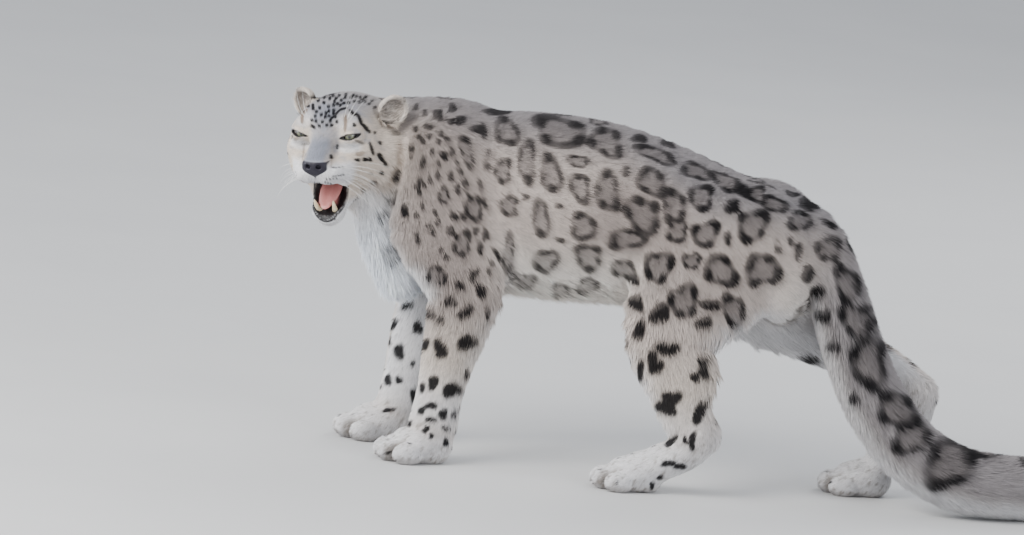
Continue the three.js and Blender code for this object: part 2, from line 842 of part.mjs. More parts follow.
// The skin of the upper head at a level: 0 for the head itself, GAP for what has to clear it.
const headSurface = (level) =>
  surface({
    line: headLine([[-26, 0, 4], [20, 0, 0], [62, 0, -14]]),
    across: HEAD_ACROSS,
    rings: [4, 13, 14],
    sides: 34,
    reach: 190,
    level,
    zone: beyondZone(CUTS.head),
  });
const jawSurface = (level) =>
  surface({
    line: headLine([[13, 0, -96], [36, 0, -100], [52, 0, -110]]),
    across: HEAD_ACROSS,
    rings: [3, 6, 5],
    sides: 22,
    reach: 120,
    level,
    zone: within(beyondZone(CUTS.head), ...JAW_SPACE.map(beyondZone)),
  });

function ball(centre, radii, turn = [0, 0, 0], segments = [20, 14]) {
  const matrix = new THREE.Matrix4().compose(
    new THREE.Vector3(...centre),
    new THREE.Quaternion().setFromEuler(new THREE.Euler(...turn.map(radians), "ZYX")),
    new THREE.Vector3(...radii),
  );
  return solidOf(new THREE.SphereGeometry(1, ...segments), headFrame.clone().multiply(matrix));
}

const eyeball = (side, grow = 0) =>
  ball([EYE.x, EYE.y * side, EYE.z], Array(3).fill(EYE.radius + grow), [0, 90, 0], [16, 10]);

// Eyelid opening: an almond looking out of the socket, with its outer corner raised.
const EYE_OPENING = { width: 30, height: 9, outward: 20, slant: 10, drop: 1 };

function eyeOpening(side) {
  const { width, height, outward, slant } = EYE_OPENING;
  const half = width / 2;
  const almond = new THREE.Shape();
  almond.moveTo(-half, 0);
  almond.quadraticCurveTo(0, height * 1.1, half, 0);
  almond.quadraticCurveTo(0, -height * 0.9, -half, 0);
  const prism = new THREE.ExtrudeGeometry(almond, { depth: 60, bevelEnabled: false, curveSegments: 6 });
  // The shape is drawn across and up, and the extrusion runs out of the face.
  const stand = new THREE.Matrix4().makeBasis(
    new THREE.Vector3(0, 1, 0),
    new THREE.Vector3(0, 0, 1),
    new THREE.Vector3(1, 0, 0),
  );
  const place = new THREE.Matrix4()
    .makeTranslation(EYE.x, EYE.y * side, EYE.z - EYE_OPENING.drop)
    .multiply(new THREE.Matrix4().makeRotationZ(radians(outward * side)))
    .multiply(new THREE.Matrix4().makeRotationX(radians(slant * side)))
    .multiply(stand);
  return solidOf(prism, headFrame.clone().multiply(place));
}

function tooth(root, tip, radius, sides = 8) {
  const [a, b] = [new THREE.Vector3(...root), new THREE.Vector3(...tip)];
  const along = b.clone().sub(a);
  const upright = new THREE.Vector3(0, 1, 0);
  const turn = new THREE.Quaternion().setFromUnitVectors(upright, along.clone().normalize());
  const matrix = new THREE.Matrix4().compose(
    a.clone().add(b).multiplyScalar(0.5),
    turn,
    new THREE.Vector3(1, 1, 1),
  );
  const cone = new THREE.CylinderGeometry(radius * 0.25, radius, along.length(), sides, 2);
  return solidOf(cone, headFrame.clone().multiply(matrix));
}

const LOWER_CANINE = { root: [54, 12, -105], tip: [73, 15, -90], radius: 4.4 };
const UPPER_CANINE = { root: [84, 17, -38], tip: [84, 16, -62], radius: 4.6 };

const mirrored = ([x, y, z], side) => [x, y * side, z];

function canines({ root, tip, radius }) {
  return [-1, 1].map((side) => tooth(mirrored(root, side), mirrored(tip, side), radius));
}

// Upper head: sockets, lid openings, nostrils and philtrum cut in, upper teeth rooted in.
function makeHead() {
  let solid = beyond(headSurface(0), CUTS.head).subtract(jawSpace(GAP));
  for (const side of [-1, 1]) {
    solid = solid
      .subtract(eyeball(side, GAP))
      .subtract(eyeOpening(side))
      .subtract(ball([121, 9 * side, -23], [9, 4.4, 3.6], [0, 20, 25 * side], [10, 6]));
  }
  solid = solid.subtract(ball([120, 0, -42], [11, 1.2, 14], [0, -14, 0], [6, 8]));
  for (const canine of canines(UPPER_CANINE)) solid = solid.add(canine);
  return largest(solid);
}

function makeJaw() {
  let solid = beyond(jawSurface(0), CUTS.head).intersect(jawSpace(0));
  for (const canine of canines(LOWER_CANINE)) solid = solid.add(canine);
  return largest(solid);
}

const TONGUE = [
  [27, 0, -69.5, 16, 8],
  [43, 0, -79, 16, 7],
  [56, 0, -89, 12, 6],
  [62, 0, -96.5, 8, 4],
];

function makeTongue(jawClearance) {
  const whole = surface({
    line: headLine(TONGUE.map((s) => s.slice(0, 3))),
    across: HEAD_ACROSS,
    rings: [2, 6, 3],
    sides: 12,
    reach: 60,
    field: inFrame(headInverse, limb(TONGUE)),
  });
  return largest(whole.subtract(jawClearance).intersect(jawSpace(-1)));
}

// Ears: rounded cups with a rim. Middle, and lean outwards and turn of the open side, in degrees.
const EAR = { width: 23, depth: 15, height: 27, wall: 4.5 };
const EARS = {
  left: { at: [-14, 85, 45], lean: 34, face: 24 },
  right: { at: [-14, -60, 47], lean: 34, face: 24 },
};

function makeEar(name, headClearance) {
  const { width, depth, height, wall } = EAR;
  const { at, lean, face } = EARS[name];
  const side = Math.sign(at[1]);
  const turn = [-lean * side, 0, face * side];
  const shell = ball(at, [depth, width, height], turn, [14, 8]);
  const ahead = new THREE.Vector3(wall + 5, 0, 1)
    .applyEuler(new THREE.Euler(...turn.map(radians), "ZYX"))
    .toArray();
  const inner = [depth, width - wall, height - wall];
  const hollow = ball(at.map((v, n) => v + ahead[n]), inner, turn, [14, 8]);
  return largest(shell.subtract(hollow).subtract(headClearance));
}

nodes.trunk = makeTrunk();
nodes.neck = makeNeck();
makeTail();
for (const name of Object.keys(LEGS)) {
  nodes[LEG_NAMES[name]] = makeLeg(name);
  nodes[FOOT_NAMES[name]] = makeFoot(name);
}
nodes.head = makeHead();
nodes.jaw = makeJaw();
nodes.tongue = makeTongue(jawSurface(1.5 * GAP));
const headClearance = headSurface(GAP);
nodes.eye_left = eyeball(1);
nodes.eye_right = eyeball(-1);
nodes.ear_left = makeEar("left", headClearance);
nodes.ear_right = makeEar("right", headClearance);

// Colours of the plain finishes.
const FINISHES = {
  coat: { color: 0xb9b2a6, roughness: 0.9, metalness: 0 },
  eye: { color: 0x8d9079, roughness: 0.15, metalness: 0 },
  tongue: { color: 0xc77f86, roughness: 0.5, metalness: 0 },
};
const finishOf = (name) => FINISHES[name.startsWith("eye") ? "eye" : name === "tongue" ? "tongue" : "coat"];

function geometryOf(solid) {
  const { vertProperties, triVerts } = solid.getMesh();
  return new THREE.BufferGeometry()
    .setAttribute("position", new THREE.BufferAttribute(vertProperties, 3))
    .setIndex(new THREE.BufferAttribute(triVerts, 1));
}

// The origin is put under the middle of the whole, on the floor.
const geometries = Object.entries(nodes).map(([name, solid]) => [name, geometryOf(solid)]);
const whole = new THREE.Box3();
for (const [, geometry] of geometries) whole.expandByObject(new THREE.Mesh(geometry));
const middle = whole.getCenter(new THREE.Vector3());

const snowLeopard = new THREE.Group();
for (const [name, geometry] of geometries) {
  geometry.translate(-middle.x, -middle.y, 0);
  geometry.computeVertexNormals();
  const mesh = new THREE.Mesh(geometry, new THREE.MeshStandardMaterial(finishOf(name)));
  mesh.name = name;
  snowLeopard.add(mesh);
}

export default snowLeopard;
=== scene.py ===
# %% [markdown]
# # A standing snow leopard
# This lesson dresses a life-size model of a snow leopard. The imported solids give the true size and
# place of every part. Here one soft skin, a coat of small tufts, eyes, teeth, tongue and whiskers
# take their place. We start by loading the solids, because all that follows is measured from them.

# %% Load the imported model
import json
import numpy as np
import bpy
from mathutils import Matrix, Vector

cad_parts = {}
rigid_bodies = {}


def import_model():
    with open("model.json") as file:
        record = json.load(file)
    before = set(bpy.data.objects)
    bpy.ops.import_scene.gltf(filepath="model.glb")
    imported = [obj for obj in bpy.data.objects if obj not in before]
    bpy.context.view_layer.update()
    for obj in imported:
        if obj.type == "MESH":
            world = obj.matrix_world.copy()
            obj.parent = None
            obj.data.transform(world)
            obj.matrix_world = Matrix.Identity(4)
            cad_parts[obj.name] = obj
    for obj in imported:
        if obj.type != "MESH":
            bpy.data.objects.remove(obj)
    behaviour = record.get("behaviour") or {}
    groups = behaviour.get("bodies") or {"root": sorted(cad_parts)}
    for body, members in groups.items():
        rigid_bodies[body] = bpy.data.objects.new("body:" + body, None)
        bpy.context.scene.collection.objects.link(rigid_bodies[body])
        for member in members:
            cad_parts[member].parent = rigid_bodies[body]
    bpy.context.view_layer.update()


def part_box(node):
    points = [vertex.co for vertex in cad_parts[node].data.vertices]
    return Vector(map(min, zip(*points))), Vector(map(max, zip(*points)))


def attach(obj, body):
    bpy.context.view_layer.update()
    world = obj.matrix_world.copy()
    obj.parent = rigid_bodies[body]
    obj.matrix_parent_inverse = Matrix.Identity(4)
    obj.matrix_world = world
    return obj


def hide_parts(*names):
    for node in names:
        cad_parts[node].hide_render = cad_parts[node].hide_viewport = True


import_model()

# %% [markdown]
# ## One field for the whole body
# A living body has no seams, so it is awkward to join from separate tubes. We describe it instead as
# a distance field: a function of a point that is negative inside the coat and positive outside. Two
# fields melt into one another with a rounded fillet, and a carve takes one out of the other. The
# sizes are those of the solids, in millimetres. The body faces -X, and its left side faces -Y.

# %% Melting and carving distances
def melt(a, b, k):
    """Smooth union: the smaller of two distances, less a parabola where they differ by under k."""
    h = np.maximum(k - np.abs(a - b), 0) / k
    return np.minimum(a, b) - h * h * k * 0.25


def carve(a, b, k):
    """Smooth cut: what is inside b is taken from a, with an edge rounded over k."""
    return -melt(-a, b, k)


def smooth(v, low, high):
    """Smooth step: 0 below low, 1 above high, and 3t^2 - 2t^3 between them."""
    t = np.clip((v - low) / (high - low), 0, 1)
    return t * t * (3 - 2 * t)


def unit(v):
    """Each row divided by its length."""
    return v / np.maximum(np.linalg.norm(v, axis=-1, keepdims=True), 1e-9)


# %% [markdown]
# Two simple forms make the whole animal. An ellipsoid serves for skull, cheeks, toes and muscles. A
# limb is an elliptic section carried along a smooth curve through a few stations, which suits the
# trunk, neck, tail and legs. Each knows the box that it fills, so it is only worked out near by.

# %% Ellipsoids
REACH = 60


class Ellipsoid:
    """A centre and three radii along the axes."""

    def __init__(self, centre, radii):
        self.centre, self.radii = np.array(centre, float), np.array(radii, float)
        self.low, self.high = self.centre - self.radii, self.centre + self.radii

    def __call__(self, points):
        """Distance along the line from the centre: its length times one less the inverse of the
        length scaled by the radii."""
        offset = points - self.centre
        scaled = np.maximum(np.linalg.norm(offset / self.radii, axis=1), 1e-6)
        far = np.linalg.norm(offset, axis=1)
        return np.maximum(far * (1 - 1 / scaled), -self.radii.min())


# %% Limbs
class Limb:
    """Stations of x, y, z, half width and half height, joined by a smooth cubic curve. The curve is
    cut into spans, per_span between two stations."""

    def __init__(self, stations, across=(0, 1, 0), per_span=3):
        s = np.array(stations, float)
        padded = np.vstack([s[:1], s, s[-1:]])
        t = (np.arange(per_span) / per_span)[None, :, None]
        a, b, c, d = (padded[n : n + len(s) - 1, None] for n in range(4))
        inner = b + 0.5 * t * (c - a + t * (2 * a - 5 * b + 4 * c - d + t * (3 * (b - c) + d - a)))
        line = np.vstack([inner.reshape(-1, 5), s[-1:]])
        self.start, self.end = line[:-1], line[1:]
        along = self.end[:, :3] - self.start[:, :3]
        self.length = np.linalg.norm(along, axis=1)
        self.forward = along / self.length[:, None]
        across = np.array(across, float)
        self.side = unit(across - (self.forward @ across)[:, None] * self.forward)
        self.up = np.cross(self.forward, self.side)
        self.travel = np.concatenate([[0], np.cumsum(self.length)])
        wide = line[:, 3:].max(1)[:, None]
        self.low, self.high = (line[:, :3] - wide).min(0), (line[:, :3] + wide).max(0)

    def measure(self, points):
        """Distance, nearest span, run along the whole line and angle round it. In a span the
        distance is that of an ellipse whose half sizes change evenly from end to end."""
        best = np.full(len(points), 1e9)
        span = np.zeros(len(points), int)
        run_at, angle = np.zeros(len(points)), np.zeros(len(points))
        for n, (a, b) in enumerate(zip(self.start, self.end)):
            p = points - a[:3]
            run = p @ self.forward[n]
            t = np.clip(run / self.length[n], 0, 1)
            past = run - t * self.length[n]
            s, u = p @ self.side[n], p @ self.up[n]
            wide, deep = a[3] + (b[3] - a[3]) * t, a[4] + (b[4] - a[4]) * t
            thin = np.minimum(wide, deep)
            q = np.sqrt((s / wide) ** 2 + (u / deep) ** 2 + (past / thin) ** 2)
            value = np.maximum(np.sqrt(s * s + u * u + past * past) * (1 - 1 / np.maximum(q, 1e-6)), -thin)
            nearer = value < best
            best[nearer], span[nearer] = value[nearer], n
            run_at[nearer] = (self.travel[n] + t * self.length[n])[nearer]
            angle[nearer] = np.arctan2(s, u)[nearer]
        return best, span, run_at, angle

    def __call__(self, points):
        return self.measure(points)[0]


def add_form(value, points, form, k):
    """Melts a form into a field, in the box where it can matter."""
    close = np.all((points > form.low - REACH) & (points < form.high + REACH), axis=1)
    if close.any():
        value[close] = melt(value[close], form(points[close]), k)
    return value


# %% [markdown]
# The stations run along each part: x, y, z, half width and half height. The head has axes of its
# own, with x to the nose, y to the left ear and z up, and is turned, nodded and tilted into place.

# %% The named sizes of the body
TRUNK = Limb([
    [-196, -4, 418, 66, 84], [-140, -2, 424, 92, 136], [-60, 0, 418, 106, 145], [40, 0, 420, 114, 149],
    [130, 0, 420, 118, 145], [220, 0, 410, 113, 134], [310, 0, 398, 102, 118], [390, 0, 396, 88, 101],
    [440, 0, 396, 70, 80],
], per_span=4)
NECK = Limb([
    [-120, 0, 466, 88, 98], [-180, 3, 474, 80, 92], [-232, -6, 479, 71, 85], [-270, -22, 485, 64, 74],
], per_span=4)
BIB = Limb([[-236, -26, 420, 62, 44], [-208, -10, 350, 68, 45], [-182, 0, 302, 74, 45]])
TAIL = Limb([
    [430, 0, 425, 52, 60], [480, 0, 408, 50, 51], [522, -8, 338, 49, 50], [556, -17, 262, 51, 51],
    [600, -24, 180, 53, 53], [660, -26, 110, 54, 54], [734, -14, 68, 54, 54], [812, 18, 54, 53, 53],
    [884, 70, 52, 52, 52], [936, 140, 52, 51, 51], [962, 212, 60, 44, 44], [970, 262, 74, 30, 30],
])
LEGS = {
    "fore_left": Limb([
        [-92, -62, 470, 44, 74], [-112, -80, 385, 50, 82], [-66, -88, 300, 46, 68], [-66, -88, 240, 43, 56],
        [-76, -88, 180, 38, 46], [-84, -88, 118, 34, 38], [-90, -88, 66, 36, 40],
    ]),
    "fore_right": Limb([
        [-104, 62, 465, 44, 74], [-130, 78, 385, 50, 80], [-118, 84, 300, 45, 62], [-136, 82, 235, 41, 51],
        [-150, 80, 175, 37, 44], [-160, 78, 116, 33, 37], [-164, 76, 66, 35, 39],
    ]),
    "hind_left": Limb([
        [360, -58, 440, 52, 84], [318, -76, 365, 62, 108], [286, -88, 300, 58, 94], [274, -98, 245, 50, 74],
        [296, -104, 192, 43, 65], [306, -108, 145, 37, 47], [330, -112, 104, 33, 40],
    ]),
    "hind_right": Limb([
        [380, 58, 432, 50, 82], [372, 76, 356, 58, 100], [400, 86, 300, 52, 82], [462, 92, 266, 44, 60],
        [540, 96, 234, 36, 46], [612, 100, 200, 32, 40], [654, 102, 174, 32, 38],
    ]),
}
HIND_FEET = {
    "hind_left": Limb([[338, -112, 98, 31, 36], [320, -113, 72, 32, 31], [284, -114, 50, 34, 30]]),
    "hind_right": Limb([[658, 102, 170, 31, 36], [650, 102, 120, 30, 33], [622, 102, 72, 33, 33]]),
}
# Where the middle of each sole is, which way the toes point, and the size against a fore paw.
PAWS = {
    "fore_left": ((-108, -96), (-0.93, -0.37), 1.0),
    "fore_right": ((-196, 72), (-0.95, -0.3), 1.0),
    "hind_left": ((240, -118), (-0.97, -0.24), 0.94),
    "hind_right": ((584, 100), (-0.99, -0.1), 0.94),
}
MUSCLES = [Ellipsoid(c, r) for c, r in (
    ((-120, -66, 492), (62, 40, 66)), ((-128, 64, 488), (62, 40, 64)), ((-44, -92, 352), (44, 30, 58)),
    ((-84, 90, 350), (44, 30, 56)), ((376, -60, 430), (86, 48, 74)), ((392, 60, 424), (82, 48, 72)),
    ((420, -50, 360), (62, 44, 76)), ((440, 54, 352), (60, 44, 70)),
)]
print("body forms:", 4 + 2 * len(LEGS) + len(HIND_FEET) + len(MUSCLES))

# %% The head's own axes
EYES_AT = np.array([-304.0, -125.0, 514.0])
EYE = np.array([56.0, 39.0, 20.0])
EYE_RADIUS = 17.0
EYE_MIDDLE = np.array([56.0, 0.0, 20.0])


def turn(axis, degrees):
    """Rotation about one axis by an angle in degrees, as a matrix for column vectors."""
    c, s = np.cos(np.radians(degrees)), np.sin(np.radians(degrees))
    i, j = [n for n in range(3) if n != axis]
    m = np.eye(3)
    m[i, i] = m[j, j] = c
    m[i, j], m[j, i] = (s, -s) if axis == 1 else (-s, s)
    return m


HEAD_TURN = turn(2, -102) @ turn(1, 6) @ turn(0, 4.5)


def to_head(points):
    """Points of the animal's frame in the head's axes."""
    return (points - EYES_AT) @ HEAD_TURN + EYE_MIDDLE


def from_head(points):
    """Points of the head's axes in the animal's frame."""
    return (np.asarray(points, float) - EYE_MIDDLE) @ HEAD_TURN.T + EYES_AT


# %% [markdown]
# ## Head, mouth and ears
# The face is a cluster of ellipsoids: skull, brow, cheeks, whisker pads and chin, with a short limb
# for the bridge of the nose. The jaw is modelled shut and swung down about its hinge. The open mouth,
# the lid openings, the nostrils and the cups of the ears are carved out.

# %% Forms of the head
JAW_HINGE = np.array([8.0, 0.0, -24.0])
JAW_OPEN = 38


def jaw_point(point):
    """A point of the closed jaw, turned about the hinge to where the open jaw carries it."""
    c, s = np.cos(np.radians(JAW_OPEN)), np.sin(np.radians(JAW_OPEN))
    x, _, z = np.array(point) - JAW_HINGE
    return [JAW_HINGE[0] + x * c + z * s, point[1], JAW_HINGE[2] - x * s + z * c]


def both(centre, radii):
    """The same ellipsoid on both sides of the head."""
    return [Ellipsoid(centre, radii), Ellipsoid([centre[0], -centre[1], centre[2]], radii)]


SKULL = [Ellipsoid(c, r) for c, r in (
    ((-10, 0, 18), (72, 68, 50)), ((32, 0, 30), (46, 48, 33)), ((-52, 0, 0), (48, 60, 56)),
)]
CHEEKS = [*both([40, 44, -8], [32, 26, 23]), *both([14, 46, -30], [43, 30, 39]),
          Ellipsoid([-18, 68, -36], [34, 31, 52]), Ellipsoid([-16, -54, -34], [38, 28, 48])]
BROW = both([54, 31, 36], [16, 18, 9])
BRIDGE = [Limb([[44, 0, 24, 30, 20], [72, 0, 10, 20, 16], [96, 0, -8, 19, 14], [110, 0, -20, 18, 12]])]
MUZZLE = [Ellipsoid([76, 0, -30], [36, 33, 26]), *both([93, 18, -37], [24, 21, 18]),
          *both([62, 34, -36], [28, 19, 27])]
LIDS = both(EYE + [1, 0, -1], [EYE_RADIUS + 3.4] * 3)
NOSE = [Ellipsoid([113, 0, -20], [10, 21, 11])]
JAW = [
    *(Limb([[*jaw_point([18, 36 * s, -50]), 20, 26], [*jaw_point([58, 22 * s, -58]), 15, 19],
            [*jaw_point([90, 12 * s, -60]), 14, 15]]) for s in (-1, 1)),
    Ellipsoid(jaw_point([95, 0, -67]), [20, 25, 23]),
    Limb([[*jaw_point([70, 0, -70]), 22, 14], [*jaw_point([34, 0, -72]), 38, 22], [-20, 0, -82, 54, 34]]),
]
MOUTH = Limb([[26, 0, -58, 20, 9], [46, 0, -67, 26, 18], [70, 0, -80, 28, 28], [104, 0, -98, 36, 44]])
POUCHES = both([62, 17, -82], [24, 14, 19])


def melted(points, forms, k):
    """Several forms melted into one another in turn."""
    value = forms[0](points)
    for form in forms[1:]:
        value = melt(value, form(points), k)
    return value


def whole_head(points):
    """The head in its own axes, before the mouth is opened."""
    value = melt(melted(points, SKULL, 24), melted(points, CHEEKS, 22), 26)
    for forms, inner, outer in ((BROW, 8, 14), (BRIDGE, 1, 16), (MUZZLE, 14, 16)):
        value = melt(value, melted(points, forms, inner), outer)
    for lid in LIDS:
        value = melt(value, lid(points), 7)
    value = melt(value, NOSE[0](points), 5)
    return melt(value, melted(points, JAW, 14), 18)


def open_mouth(p):
    """The hollow of the mouth, widened by a pouch in each cheek."""
    return melted(p, [MOUTH, *POUCHES], 8)


# %% Ears, lid openings and nostrils
EARS = {"left": ((-14, 85, 45), 34, 24), "right": ((-14, -60, 47), 34, 24)}
EAR_SIZE = (15, 23, 27)
EAR_WALL = 6.5


def ear_axes(name):
    """Middle and rotation of an ear: leant outwards about x, then turned about z."""
    at, lean, face = EARS[name]
    side = np.sign(at[1])
    return np.array(at, float), turn(2, face * side) @ turn(0, -lean * side)


def ear_cup(wall=EAR_WALL):
    """The hollow of an ear in its own axes: an ellipsoid smaller by the wall, moved forwards."""
    return Ellipsoid([wall + 2, 0, 1], [EAR_SIZE[0], EAR_SIZE[1] - wall, EAR_SIZE[2] - wall])


def ear_shell(points, name, wall=EAR_WALL):
    """An ellipsoid with the cup carved out of it."""
    at, axes = ear_axes(name)
    local = (points - at) @ axes
    return carve(Ellipsoid([0, 0, 0], EAR_SIZE)(local), ear_cup(wall)(local), 3)


def on_ear(p, name):
    """1 on an ear above its root and 0 away from it, in head axes."""
    at, axes = ear_axes(name)
    local = (p - at) @ axes
    return smooth(-np.linalg.norm(local / EAR_SIZE, axis=1), -1.3, -1.12) * smooth(local[:, 2], -21, -8)


LID = {"half": 12.8, "top": 4.0, "bottom": 3.9, "outward": 20, "slant": 10, "raise": -1.0, "floor": 9.0}


def lid_opening(points, side, half=LID["half"]):
    """An almond between two parabolas, seen along the line out of the socket and no deeper than
    the floor. Its outer corner is raised."""
    axes = turn(2, LID["outward"] * side) @ turn(0, LID["slant"] * side)
    local = (points - (EYE * [1, side, 1] + [0, 0, LID["raise"]])) @ axes
    bulge = 1 - (local[:, 1] / half) ** 2
    almond = np.maximum(local[:, 2] - LID["top"] * bulge, -local[:, 2] - LID["bottom"] * bulge)
    return np.maximum(almond, LID["floor"] - local[:, 0])


def nostril(points, side):
    """A small comma-shaped hollow in the nose leather."""
    axes = turn(2, 25 * side) @ turn(1, 20)
    return Ellipsoid([0, 0, 0], [9, 4.4, 3.4])((points - [121, 9 * side, -23]) @ axes)


# %% Paws
OUTER_TOES = [((28, y, 17), (25, 13.5, 19)) for y in (-38, 38)]
TOES = OUTER_TOES + [((45, y, 18), (27, 13.5, 20)) for y in (-13, 13)]
CREASES = (-25, 0, 25)


class Paw:
    """The ball of the foot and four toes, in axes where x runs to the toes."""

    def __init__(self, at, toes, scale):
        x, y = unit(np.array(toes))
        self.axes = np.array([[x, y, 0], [-y, x, 0], [0, 0, 1]])
        self.at, self.scale = np.array([*at, 0.0]), scale
        self.low, self.high = self.at - [85, 85, 5], self.at + [85, 85, 75]

    def local(self, points):
        return (points - self.at) @ self.axes.T / self.scale

    def __call__(self, points):
        p = self.local(points)
        ball = melted(p, [Ellipsoid([2, 0, 26], [46, 42, 33]), Ellipsoid([-20, 0, 33], [34, 34, 37])], 16)
        toes = melted(p, [Ellipsoid(c, r) for c, r in TOES], 2.5)
        return melt(ball, toes, 8) * self.scale


FEET = {name: Paw(*sizes) for name, sizes in PAWS.items()}

# %% [markdown]
# Now the whole animal, and beside it how far a point is from each region, from the same forms, because the
# depth of the coat, the way that the hair lies and the colours all change from region to region.

# %% The whole animal and its regions
HEAD_MIDDLE = np.array([0.0, 0.0, -20.0])
HEAD_REACH = 175
HEAD_BOX = [from_head([20, 0, -20]) + side * HEAD_REACH for side in (-1, 1)]


class Head:
    """The head as one form of the animal's frame."""

    low, high = HEAD_BOX[0] + REACH, HEAD_BOX[1] - REACH

    def __call__(self, points):
        p = to_head(points)
        value = carve(whole_head(p), open_mouth(p), 5)
        for name in EARS:
            value = melt(value, ear_shell(p, name), 7)
        return value


HEAD = Head()


def animal(points):
    """Distance to the tips of the whole coat."""
    value = melt(TRUNK(points), NECK(points), 40)
    for forms, k in (([BIB], 30), (MUSCLES, 26), (LEGS.values(), 26), (HIND_FEET.values(), 14),
                     (FEET.values(), 12), ([TAIL], 20), ([HEAD], 22)):
        for form in forms:
            value = add_form(value, points, form, k)
    return value


# The columns of the weights that say which region a point belongs to.
ON_TRUNK, ON_NECK, ON_BIB, ON_TAIL, ON_FORE, ON_HIND, ON_FOOT, ON_HEAD = range(8)


def region_weights(points, spread=12.0):
    """How much each region owns a point: the exponential of its nearness, shared out to add to 1."""
    def nearest(forms):
        value = np.full(len(points), 400.0)
        for form in forms:
            close = np.all((points > form.low - REACH) & (points < form.high + REACH), axis=1)
            if close.any():
                value[close] = np.minimum(value[close], form(points[close]))
        return value

    head = nearest([HEAD])
    fields = [
        TRUNK(points), NECK(points), nearest([BIB]), nearest([TAIL]),
        nearest([LEGS["fore_left"], LEGS["fore_right"]]), nearest([LEGS["hind_left"], LEGS["hind_right"]]),
        nearest([*FEET.values(), *HIND_FEET.values()]) - 4, head - 6,
    ]
    f = np.stack(fields, 1)
    w = np.exp(-(f - f.min(1, keepdims=True)) / spread)
    return w / w.sum(1, keepdims=True)


def shared(weights, sizes):
    """The sizes of the regions, each one number or one for every point, shared by weight."""
    return sum(weights[:, n] * size for n, size in enumerate(sizes))


# %% [markdown]
# The skin lies under the coat, deeper where the hair is longer. So the skin is where the field plus
# the coat's depth is zero. On the face the hair is only a few millimetres deep, and at the eyes, lips
# and nose it is almost nothing.

# %% Depth of the coat
def face_bareness(p):
    """1 on nose leather, lids, lips and mouth, and 0 away from them, in head axes."""
    nose = smooth(-np.linalg.norm((p - [116, 0, -22]) / [14, 22, 13], axis=1), -1.5, -1.0)
    lids = [smooth(-np.linalg.norm(p - EYE * [1, s, 1], axis=1), -27, -20) for s in (-1, 1)]
    mouth = smooth(-open_mouth(p), -9, -2) * smooth(p[:, 0], 8, 30)
    return np.maximum.reduce([nose, mouth, *lids])


def coat_depth(points, weights=None):
    """The depth of each region, shared by weight, with the face and lower legs shorter."""
    w = region_weights(points) if weights is None else weights
    p = to_head(points)
    z = points[:, 2]
    head = 2.0 + 6 * smooth(-p[:, 0], -34, 30) * smooth(np.linalg.norm(p - HEAD_MIDDLE, axis=1), 50, 90)
    head = np.where(p[:, 2] > 44, np.minimum(head, 4), head)
    eared = np.maximum(*(on_ear(p, name) for name in EARS))
    head = head * (1 - eared) + 2.0 * eared
    bare = face_bareness(p)
    head = head * (1 - bare) + 0.7 * bare
    legs = 3.8 + 5 * smooth(z, 110, 320)
    under = smooth(-z, -330, -270)
    return shared(w, [8 + 10 * under, 9, 14, 10, legs, legs, 2.6, head])


def skin_field(points):
    """The animal's field, moved in by the depth of the coat, with lids and nostrils opened."""
    value = animal(points) + coat_depth(points)
    close = np.all((points > HEAD_BOX[0]) & (points < HEAD_BOX[1]), axis=1)
    p = to_head(points[close])
    part = value[close]
    for side in (-1, 1):
        part = carve(part, lid_opening(p, side), 1.6)
        part = carve(part, nostril(p, side), 1.5)
    value[close] = part
    return np.maximum(value, 0.8 - points[:, 2])


def cast_field(points):
    """The skin's field with thick ears, so that no cell of a coarse net can fall through them."""
    p = to_head(points)
    return np.minimum.reduce([skin_field(points), *(ear_shell(p, name, 10) for name in EARS)])


# %% [markdown]
# ## From a field to a mesh
# A mesh could be modelled by pulling a cage over the field. It is surer to let a net find the surface
# by itself: space is cut into small cells, each cell that the surface crosses gets one vertex, and
# four such vertices round every crossed edge make a face. The net is exact after each vertex has
# slid to the surface along the field's slope.

# %% A net over the field
def between(length, step, count):
    """Weights that interpolate count coarse samples onto length fine ones."""
    at = np.arange(length) / step
    low = np.minimum(at.astype(int), count - 2)
    weights = np.zeros((length, count))
    weights[np.arange(length), low] = 1 - (at - low)
    weights[np.arange(length), low + 1] = at - low
    return weights


def sample_grid(field, low, cells, step, coarse=5, band=34):
    """Field on a fine grid. A coarse grid finds where the surface is, and only the samples near it
    are worked out in full."""
    rough = [n // coarse + 2 for n in cells]
    at = np.stack(np.meshgrid(*[np.arange(n) * coarse for n in rough], indexing="ij"), -1)
    values = field(low + at.reshape(-1, 3) * step).reshape(rough)
    for axis in range(3):
        weights = between(cells[axis], coarse, rough[axis])
        values = np.moveaxis(np.tensordot(weights, values, (1, axis)), 0, axis)
    near = np.argwhere(np.abs(values) < band)
    values[tuple(near.T)] = field(low + near * step)
    return values


